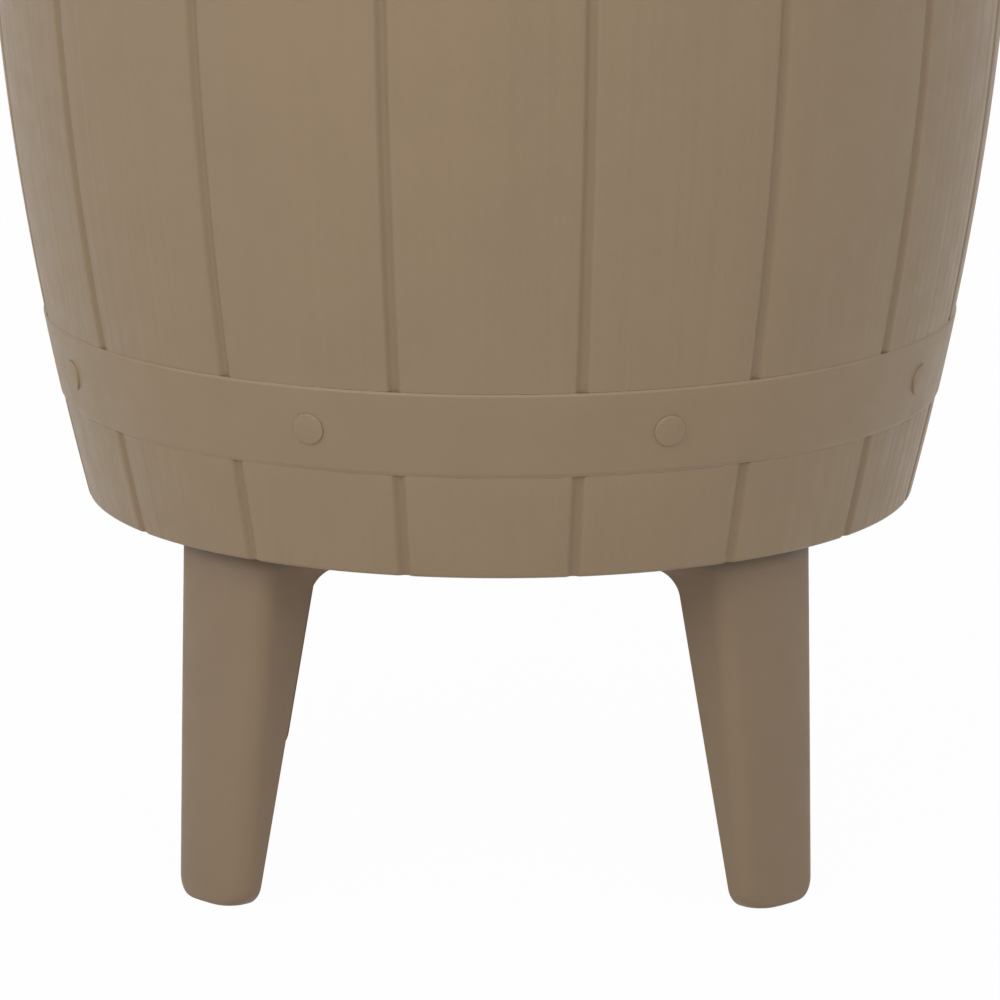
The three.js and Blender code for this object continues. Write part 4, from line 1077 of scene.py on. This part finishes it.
class MakeLidPan(bpy.types.Operator):
    """Builds the lid pan under the tabletop, with its ribs, and its rubber seal"""

    bl_idname = "cooler_table.make_lid_pan"
    bl_label = "Lid Pan"

    def execute(self, context):
        sizes = context.scene.top_sizes
        mm, screws = in_mm(sizes), in_mm(context.scene.screw_sizes)
        fit = in_mm(context.scene.inside_sizes).fit
        (low, high), (seal_low, seal_high) = box_mm("lid_pan"), box_mm("lid_gasket")
        hub_in = box_mm("lift_tube")[1].x + fit
        hub_out, pan = hub_in + mm.hub_wall, high.x
        under = low.z + mm.hub_drop
        top = under + mm.plate
        hub_top = top + mm.hub_rise
        spigot = seal_high.x - mm.gasket_width - fit
        profile = [
            (hub_in, low.z),
            (hub_out, low.z),
            (hub_out, under),
            (spigot - mm.spigot_wall, under),
            (spigot - mm.spigot_wall, low.z),
            (spigot + mm.spigot_lip, low.z),
            (spigot + mm.spigot_lip, low.z + mm.spigot_lip),
            (spigot, low.z + mm.spigot_lip),
            (spigot, under),
            (pan, under),
            (pan, high.z),
            (pan - mm.upstand, high.z),
            (pan - mm.upstand, top),
            (hub_out, top),
            (hub_out, hub_top),
            (0, hub_top),
            (0, hub_top - mm.hub_cap),
            (hub_in, hub_top - mm.hub_cap),
        ]
        body = turned("pan", profile, WIDE, mm.soft)
        inside = top - mm.plate / 2
        inmost = (hub_out - mm.hub_wall / 2, -mm.rib / 2, inside)
        rib = block("rib", inmost, (pan - mm.upstand / 2, mm.rib / 2, hub_top))
        head = screws.head + fit
        boss = rod("boss", head + mm.boss_wall, inside, top + mm.boss_rise)
        hole = rod("hole", head, low.z, top + screws.rise)
        ribs = repeat(rib, sizes.rib_count, math.pi / sizes.rib_count)
        bosses, holes = (repeat(piece, sizes.screw_count, 0, sizes.screw_circle) for piece in (boss, hole))
        combine(body, [ribs, bosses], "UNION")
        combine(body, [holes])
        body.name = "lid_pan_moulding"
        settle(smooth(close(body)), pan_resin(), "tabletop", "taupe_resin", "lid_pan")
        low, high, outer = seal_low.z, seal_high.z, seal_high.x
        inner, third, reach = spigot + fit, (high - low) / 3, mm.gasket_width / 2.6
        # Two lips: heights in thirds of the gasket, and how far each corner stands back
        corners = ((0.6, 0), (1.2, reach), (1.6, reach), (2.2, 0))
        lips = [(outer - back, low + third * t) for t, back in corners]
        profile = [(inner, low), (outer - reach, low), *lips, (outer - reach, high), (inner, high)]
        ring = turned("lid_seal", profile, WIDE, mm.soft / 2)
        settle(smooth(ring, degrees=50), rubber_finish(), "tabletop", "gasket_rubber", "lid_gasket")
        return {"FINISHED"}


class MakeBucket(bpy.types.Operator):
    """Builds the inner bucket with its flange and drain spout"""

    bl_idname = "cooler_table.make_bucket"
    bl_label = "Bucket"

    def execute(self, context):
        barrel = context.scene.barrel_sizes
        mm = in_mm(context.scene.inside_sizes)
        low, high = box_mm("inner_bucket")
        underside, mouth, shell_wall = shell_low.z / MM, shell_high.z / MM, barrel.wall / MM
        under_flange = high.z - mm.flange
        floor_low = underside + shell_wall + mm.bucket_rise
        floor_high = floor_low + mm.bucket_floor

        def inside_face(z):
            return stave_radius(barrel, (z - underside) * MM) / MM - shell_wall

        base_out, mouth_out = inside_face(floor_low) - mm.air_gap, inside_face(mouth) - mm.air_gap
        ring_out = inside_face(mouth) - mm.fit
        outside, inside = [], []
        for a in span(0, math.pi / 2, 8) + [math.pi / 2]:
            inward, rise = mm.bucket_corner * (1 - math.sin(a)), mm.bucket_corner * (1 - math.cos(a))
            outside.append((base_out - inward, floor_low + rise))
            inside.insert(0, (base_out - mm.bucket_wall - inward, floor_high + rise))
        profile = [
            (0, floor_low),
            *outside,
            (mouth_out, under_flange),
            (ring_out - mm.ring_wall, under_flange),
            (ring_out - mm.ring_wall, under_flange - mm.ring_depth),
            (ring_out, under_flange - mm.ring_depth),
            (ring_out, under_flange),
            (high.x, under_flange),
            (high.x, high.z),
            (mouth_out - mm.bucket_wall, high.z),
            *inside,
            (0, floor_high),
        ]
        bucket = turned("bucket_liner", profile, WIDE, mm.soft)
        centre, middle, past = (0, mm.drain_setback), (floor_low + floor_high) / 2, 1
        pipe = rod("pipe", mm.spout_bore + mm.spout_wall, low.z, middle, centre, NARROW)
        combine(bucket, [pipe], "UNION")
        bore, wide = mm.spout_bore, mm.spout_bore + mm.spout_dish
        below, above = low.z - past, floor_high + past
        profile = [(0, below), (bore, below), (bore, middle), (wide, above), (0, above)]
        combine(bucket, [turned("dish", profile, NARROW, 0, centre)])
        settle(smooth(close(bucket)), liner_resin(), "root", "bucket_resin", "inner_bucket")
        return {"FINISHED"}


def lock_pocket(sizes, radius, half_width, bore, low, high):
    """The space that a lug sweeps as it locks, on both sides of the axis."""
    sweep = sizes.lock_turn + math.asin(half_width / bore)
    made = []
    for middle in (-math.pi / 2, math.pi / 2):
        arc = [middle - sweep * (1 - t) for t in span(0, 1, 12) + [1]]
        ring = [(0, 0)] + [(radius * math.cos(a), radius * math.sin(a)) for a in arc]
        made.append(lofted("pocket", [[(x * MM, y * MM, z * MM) for x, y in ring] for z in (low, high)]))
    return made


class MakeColumn(bpy.types.Operator):
    """Builds the guide column, its collar and its gasket"""

    bl_idname = "cooler_table.make_column"
    bl_label = "Column"

    def execute(self, context):
        sizes = context.scene.inside_sizes
        mm, screws = in_mm(sizes), in_mm(context.scene.screw_sizes)
        (low, high), (_, collar_high) = box_mm("guide_column"), box_mm("column_collar")
        flange, low, high = high.x, low.z, high.z
        tube = box_mm("lift_tube")[1].x
        bore = tube + mm.play
        channel = bore + mm.channel
        outer, flange_top, fillet = channel + mm.column_wall, low + mm.column_flange, mm.column_fillet
        profile = [(bore, low), (flange, low), (flange, flange_top)]
        for a in span(0, math.pi / 2, 5) + [math.pi / 2]:
            profile.append((outer + fillet * (1 - math.sin(a)), flange_top + fillet * (1 - math.cos(a))))
        column = turned("guide_column_post", [*profile, (outer, high), (bore, high)], MIDDLING, mm.soft)
        half, past = mm.channel_width / 2, 1
        bars = [
            block("bar", (-channel, -half, low - past), (channel, half, high + past)),
            block("bar", (-half, -channel, low - past), (half, channel, high + past)),
        ]
        combine(column, bars)
        lug_low, (ring_low, ring_high) = box_mm("tube_foot")[0].z, box_mm("glide_ring")
        lug_high, lift = ring_low.z - mm.fit, high - mm.lock_play - ring_high.z
        for bottom, top in ((low - past, lug_high), (lug_low + lift - mm.lock_play, lug_high + lift)):
            combine(column, lock_pocket(sizes, channel, half, bore, bottom, top + mm.lock_play))
        hole = rod("hole", screws.shank + mm.fit, low - past, flange_top + past)
        count = sum(node.startswith("column_screw_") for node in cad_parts)
        combine(column, [repeat(hole, count, math.pi / count, (outer + flange) / 2 * MM)])
        settle(smooth(close(column)), pan_resin(), "root", "taupe_resin", "guide_column")
        top, under, inner = collar_high.z, high + mm.fit, tube + mm.fit
        skirt_in, skirt_low = outer + mm.fit, high + mm.fit - mm.collar_skirt
        skirt_out = skirt_in + mm.collar_wall
        profile = [(inner, under), (skirt_in, under), (skirt_in, skirt_low), (skirt_out, skirt_low)]
        collar = turned("column_collar_ring", [*profile, (skirt_out, top), (inner, top)], MIDDLING, mm.soft)
        settle(smooth(collar), pan_resin(), "root", "taupe_resin", "column_collar")
        low, high = (corner.z for corner in box_mm("column_gasket"))
        profile = [(bore, low), (flange, low), (flange, high), (bore, high)]
        gasket = turned("column_seal", profile, MIDDLING, mm.soft)
        settle(smooth(gasket), rubber_finish(), "root", "gasket_rubber", "column_gasket")
        return {"FINISHED"}


class MakeLift(bpy.types.Operator):
    """Builds the lift tube and finishes the pieces that slide in the column"""

    bl_idname = "cooler_table.make_lift"
    bl_label = "Lift"

    def execute(self, context):
        mm, (low, high) = in_mm(context.scene.inside_sizes), box_mm("lift_tube")
        inner, outer = high.x - mm.tube_wall, high.x
        profile = [(inner, low.z), (outer, low.z), (outer, high.z), (inner, high.z)]
        post = turned("lift_post", profile, MIDDLING, mm.soft)
        settle(smooth(post), pan_resin(), "tabletop", "taupe_resin", "lift_tube")
        recoat(("glide_ring", "tube_foot"), bearing_finish())
        return {"FINISHED"}


def screw(name, reach, facets=24):
    """A pan-head screw along +Z, its head below zero, with a crossed recess and a turned thread."""
    mm = in_mm(bpy.context.scene.screw_sizes)
    head, rise, shank, core, recess, half = mm.head, mm.rise, mm.shank, mm.core, mm.recess, mm.recess_width
    # The head's round edge, as shares of its radius and its height
    dome = [(head * across, -rise * up) for across, up in ((0, 1), (0.55, 1), (0.85, 0.8), (1, 0.4))]
    profile = [*dome, (head, 0), (shank, 0)]
    threads = max(2, int((reach - 2 * mm.tip) / mm.pitch))
    pitch = (reach - 2 * mm.tip) / threads
    for i in range(threads):
        z = mm.tip + pitch * i
        profile += [(core, z), (shank, z + pitch / 2)]
    profile += [(core, reach - mm.tip), (core / 2, reach), (0, reach)]
    body = turned(name, profile, facets, half / 4)
    low, high = -2 * rise, mm.recess_depth - rise
    slots = [
        block("slot", (-recess, -half, low), (recess, half, high)),
        block("slot", (-half, -recess, low), (half, recess, high)),
    ]
    return combine(body, slots)


def extent(node, direction):
    """How far a node reaches along a direction: its near end and its far end in mm."""
    along = [direction.dot(v.co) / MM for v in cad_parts[node].data.vertices]
    return min(along), max(along)


class MakeScrews(bpy.types.Operator):
    """Builds the screws of the legs, the column, the collar, the hub and the tabletop"""

    bl_idname = "cooler_table.make_screws"
    bl_label = "Screws"

    def execute(self, context):
        legs, top, rise = context.scene.leg_sizes, context.scene.top_sizes, context.scene.screw_sizes.rise
        steel, inward = steel_finish(), Matrix.Rotation(-math.pi / 2, 4, "Y")

        def nodes_of(start):
            return [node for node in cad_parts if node.startswith(start)]

        def upright(node):
            low, high = extent(node, Vector((0, 0, 1)))
            return low * MM, high * MM, high - low - rise / MM

        low, _, reach = upright("leg_screw_front_left_1")
        back = legs.top_radius - legs.top_depth - legs.flare - legs.tab / 2
        pair = [
            place(screw("pair", reach), Matrix.Translation((back, y, low + rise)))
            for y in (-legs.screw_spread, legs.screw_spread)
        ]
        made = repeat(join("leg_screws", pair), legs.count, math.pi / legs.count)
        settle(smooth(made), steel, "root", "screw_steel", *nodes_of("leg_screw_"))

        _, high, reach = upright("column_screw_1")
        nodes = nodes_of("column_screw_")
        low_corner, high_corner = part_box("column_screw_1")
        circle = ((low_corner + high_corner) / 2).xy.length
        one = place(screw("column_screws", reach), Matrix.Rotation(math.pi, 4, "X"))
        made = repeat(one, len(nodes), math.pi / len(nodes), circle, high - rise)
        settle(smooth(made), steel, "root", "screw_steel", *nodes)

        low, _, reach = upright("deck_screw_1")
        made = repeat(screw("deck_screws", reach), top.screw_count, 0, top.screw_circle, low + rise)
        settle(smooth(made), steel, "tabletop", "screw_steel", *nodes_of("deck_screw_"))

        for name, body, first in (("hub_screw", "tabletop", 0), ("collar_screw", "root", -math.pi / 4)):
            nodes = nodes_of(name + "_")
            outward = Vector((math.cos(first), math.sin(first), 0))
            near, far = max((extent(node, outward) for node in nodes), key=max)
            middle = sum(corner.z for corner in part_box(nodes[0])) / 2
            one = place(screw(name + "s", far - near - rise / MM), inward)
            made = repeat(one, len(nodes), first, far * MM - rise, middle)
            settle(smooth(made), steel, body, "screw_steel", *nodes)

        recoat(("foot_screw_right", "foot_screw_left"), steel)
        return {"FINISHED"}


class MakeDrain(bpy.types.Operator):
    """Builds the drain's screw cap and its washer"""

    bl_idname = "cooler_table.make_drain"
    bl_label = "Drain"

    def execute(self, context):
        sizes = context.scene.inside_sizes
        mm = in_mm(sizes)
        (low, high), (washer_low, washer_high) = box_mm("drain_cap"), box_mm("drain_washer")
        low, high, floor_top = low.z, high.z, washer_low.z - mm.fit
        bore = mm.spout_bore + mm.spout_wall + mm.fit
        radius = bore + mm.cap_wall
        profile = [(0, low), (radius, low), (radius, high), (bore, high), (bore, floor_top), (0, floor_top)]
        cap = turned("drain_screw_cap", profile, MIDDLING, mm.soft)
        lobe = rod("lobe", mm.lobe, low, high - mm.cap_wall)
        lobes = repeat(lobe, sizes.lobe_count, math.pi / (2 * sizes.lobe_count), radius * MM)
        combine(cap, [lobes], "UNION")
        place(cap, Matrix.Translation((0, sizes.drain_setback, 0)))
        settle(smooth(close(cap)), leg_resin(), "drain_cap", "taupe_resin", "drain_cap")
        edge, low, high = washer_high.x, washer_low.z, washer_high.z
        profile = [(0, low), (edge, low), (edge, high), (0, high)]
        washer = turned("drain_seal", profile, NARROW, mm.soft, (0, mm.drain_setback))
        settle(smooth(washer), rubber_finish(), "drain_follower", "gasket_rubber", "drain_washer")
        return {"FINISHED"}


# Stage


def background_seen(tree):
    """One for a ray from the camera, off a reflection or through a clear piece, and zero for any other."""
    path = add(tree, "ShaderNodeLightPath")
    direct = {0: (path, "Is Camera Ray"), 1: (path, "Is Glossy Ray")}
    seen = add(tree, "ShaderNodeMath", direct, operation="ADD")
    through = {0: seen, 1: (path, "Is Transmission Ray")}
    return add(tree, "ShaderNodeMath", through, operation="ADD", use_clamp=True)


def floor_material(settings):
    """Matt pale card for the floor. The camera sees it almost evenly white, with a trace of shadow."""
    material = bpy.data.materials.new("pale_card_floor")
    material.use_nodes = True
    tree = material.node_tree
    tree.nodes.clear()
    card = add(tree, "ShaderNodeBsdfDiffuse", {"Color": (*settings.floor, 1)})
    shares = {0: background_seen(tree), 1: 1 - settings.floor_share}
    white = add(tree, "ShaderNodeMath", shares, operation="MULTIPLY")
    glow = add(tree, "ShaderNodeEmission", {"Color": (1, 1, 1, 1), "Strength": 1.0})
    mixed = add(tree, "ShaderNodeMixShader", {0: white, 1: card, 2: glow})
    output = add(tree, "ShaderNodeOutputMaterial")
    tree.links.new(mixed.outputs[0], output.inputs[0])
    return material


def aimed_lamp(name, watts, size, where, target):
    """A large soft square lamp that points at a place."""
    data = bpy.data.lights.new(name, "AREA")
    data.energy, data.size = watts, size
    lamp = bpy.data.objects.new(name, data)
    lamp.location = where
    lamp.rotation_euler = (Vector(target) - Vector(where)).to_track_quat("-Z", "Y").to_euler()
    bpy.context.scene.collection.objects.link(lamp)
    return lamp


class MakeStage(bpy.types.Operator):
    """Builds the floor, the room's light, the lamps and the camera"""

    bl_idname = "cooler_table.make_stage"
    bl_label = "Stage"

    def execute(self, context):
        settings = context.scene.stage_settings
        reach, level = settings.floor_reach, -settings.floor_drop
        square = ((-reach, -reach), (reach, -reach), (reach, reach), (-reach, reach))
        floor_piece = new_piece("floor", [(x, y, level) for x, y in square], [(0, 1, 2, 3)])
        floor_piece.data.materials.append(floor_material(settings))
        if floor_piece.data.polygons[0].normal.z < 0:
            floor_piece.data.flip_normals()

        world = bpy.data.worlds.new("white_room")
        context.scene.world = world
        world.use_nodes = True
        tree = world.node_tree
        tree.nodes.clear()
        levels = {"Value": background_seen(tree), "To Min": settings.room, "To Max": 1}
        strength = add(tree, "ShaderNodeMapRange", levels)
        background = add(tree, "ShaderNodeBackground", {"Color": (1, 1, 1, 1), "Strength": strength})
        output = add(tree, "ShaderNodeOutputWorld")
        tree.links.new(background.outputs[0], output.inputs[0])

        for title in ("front_left", "front_right", "left", "right", "top", "back"):
            given = (getattr(settings, f"{title}_{kind}") for kind in ("power", "size", "spot"))
            aimed_lamp(title + "_lamp", *given, settings.aim)

        view = bpy.data.cameras.new("photo_camera")
        view.sensor_width, view.lens, view.clip_end = settings.sensor, settings.lens, 5 * settings.floor_reach
        camera = bpy.data.objects.new("photo_camera", view)
        turn, setback = settings.camera_turn, settings.camera_setback
        camera.location = (setback * math.sin(turn), -setback * math.cos(turn), settings.camera_height)
        camera.rotation_euler = (settings.camera_tilt, 0, turn)
        context.scene.collection.objects.link(camera)
        context.scene.camera = camera
        context.scene.view_settings.view_transform = "Standard"
        return {"FINISHED"}


MAKERS = (
    MakeBarrel,
    MakeLegs,
    MakeTabletop,
    MakeLidPan,
    MakeBucket,
    MakeColumn,
    MakeLift,
    MakeScrews,
    MakeDrain,
    MakeStage,
)


class CoolerTablePanel(bpy.types.Panel):
    """Lists the pieces that can be built"""

    bl_idname = "VIEW3D_PT_cooler_table"
    bl_label = "Cooler Table"
    bl_space_type = "VIEW_3D"
    bl_region_type = "UI"
    bl_category = "Cooler Table"

    def draw(self, context):
        for maker in MAKERS:
            self.layout.operator(maker.bl_idname)
        for title in SETTINGS:
            group = getattr(context.scene, title)
            box = self.layout.box()
            box.label(text=title.replace("_", " ").title())
            for key in group.__annotations__:
                box.prop(group, key)


SETTINGS = {
    "barrel_sizes": BarrelSizes,
    "leg_sizes": LegSizes,
    "top_sizes": TopSizes,
    "inside_sizes": InsideSizes,
    "screw_sizes": ScrewSizes,
    "stage_settings": StageSettings,
}


def register():
    for kind in (*SETTINGS.values(), *MAKERS, CoolerTablePanel):
        bpy.utils.register_class(kind)
    for title, kind in SETTINGS.items():
        setattr(bpy.types.Scene, title, PointerProperty(type=kind))


def unregister():
    for title in SETTINGS:
        delattr(bpy.types.Scene, title)
    for kind in reversed((*SETTINGS.values(), *MAKERS, CoolerTablePanel)):
        bpy.utils.unregister_class(kind)


def main():
    """Builds every piece and the stage."""
    register()
    ops = bpy.ops.cooler_table
    ops.make_barrel()
    ops.make_legs()
    ops.make_tabletop()
    ops.make_lid_pan()
    ops.make_bucket()
    ops.make_column()
    ops.make_lift()
    ops.make_screws()
    ops.make_drain()
    ops.make_stage()


if __name__ == "__main__":
    main()
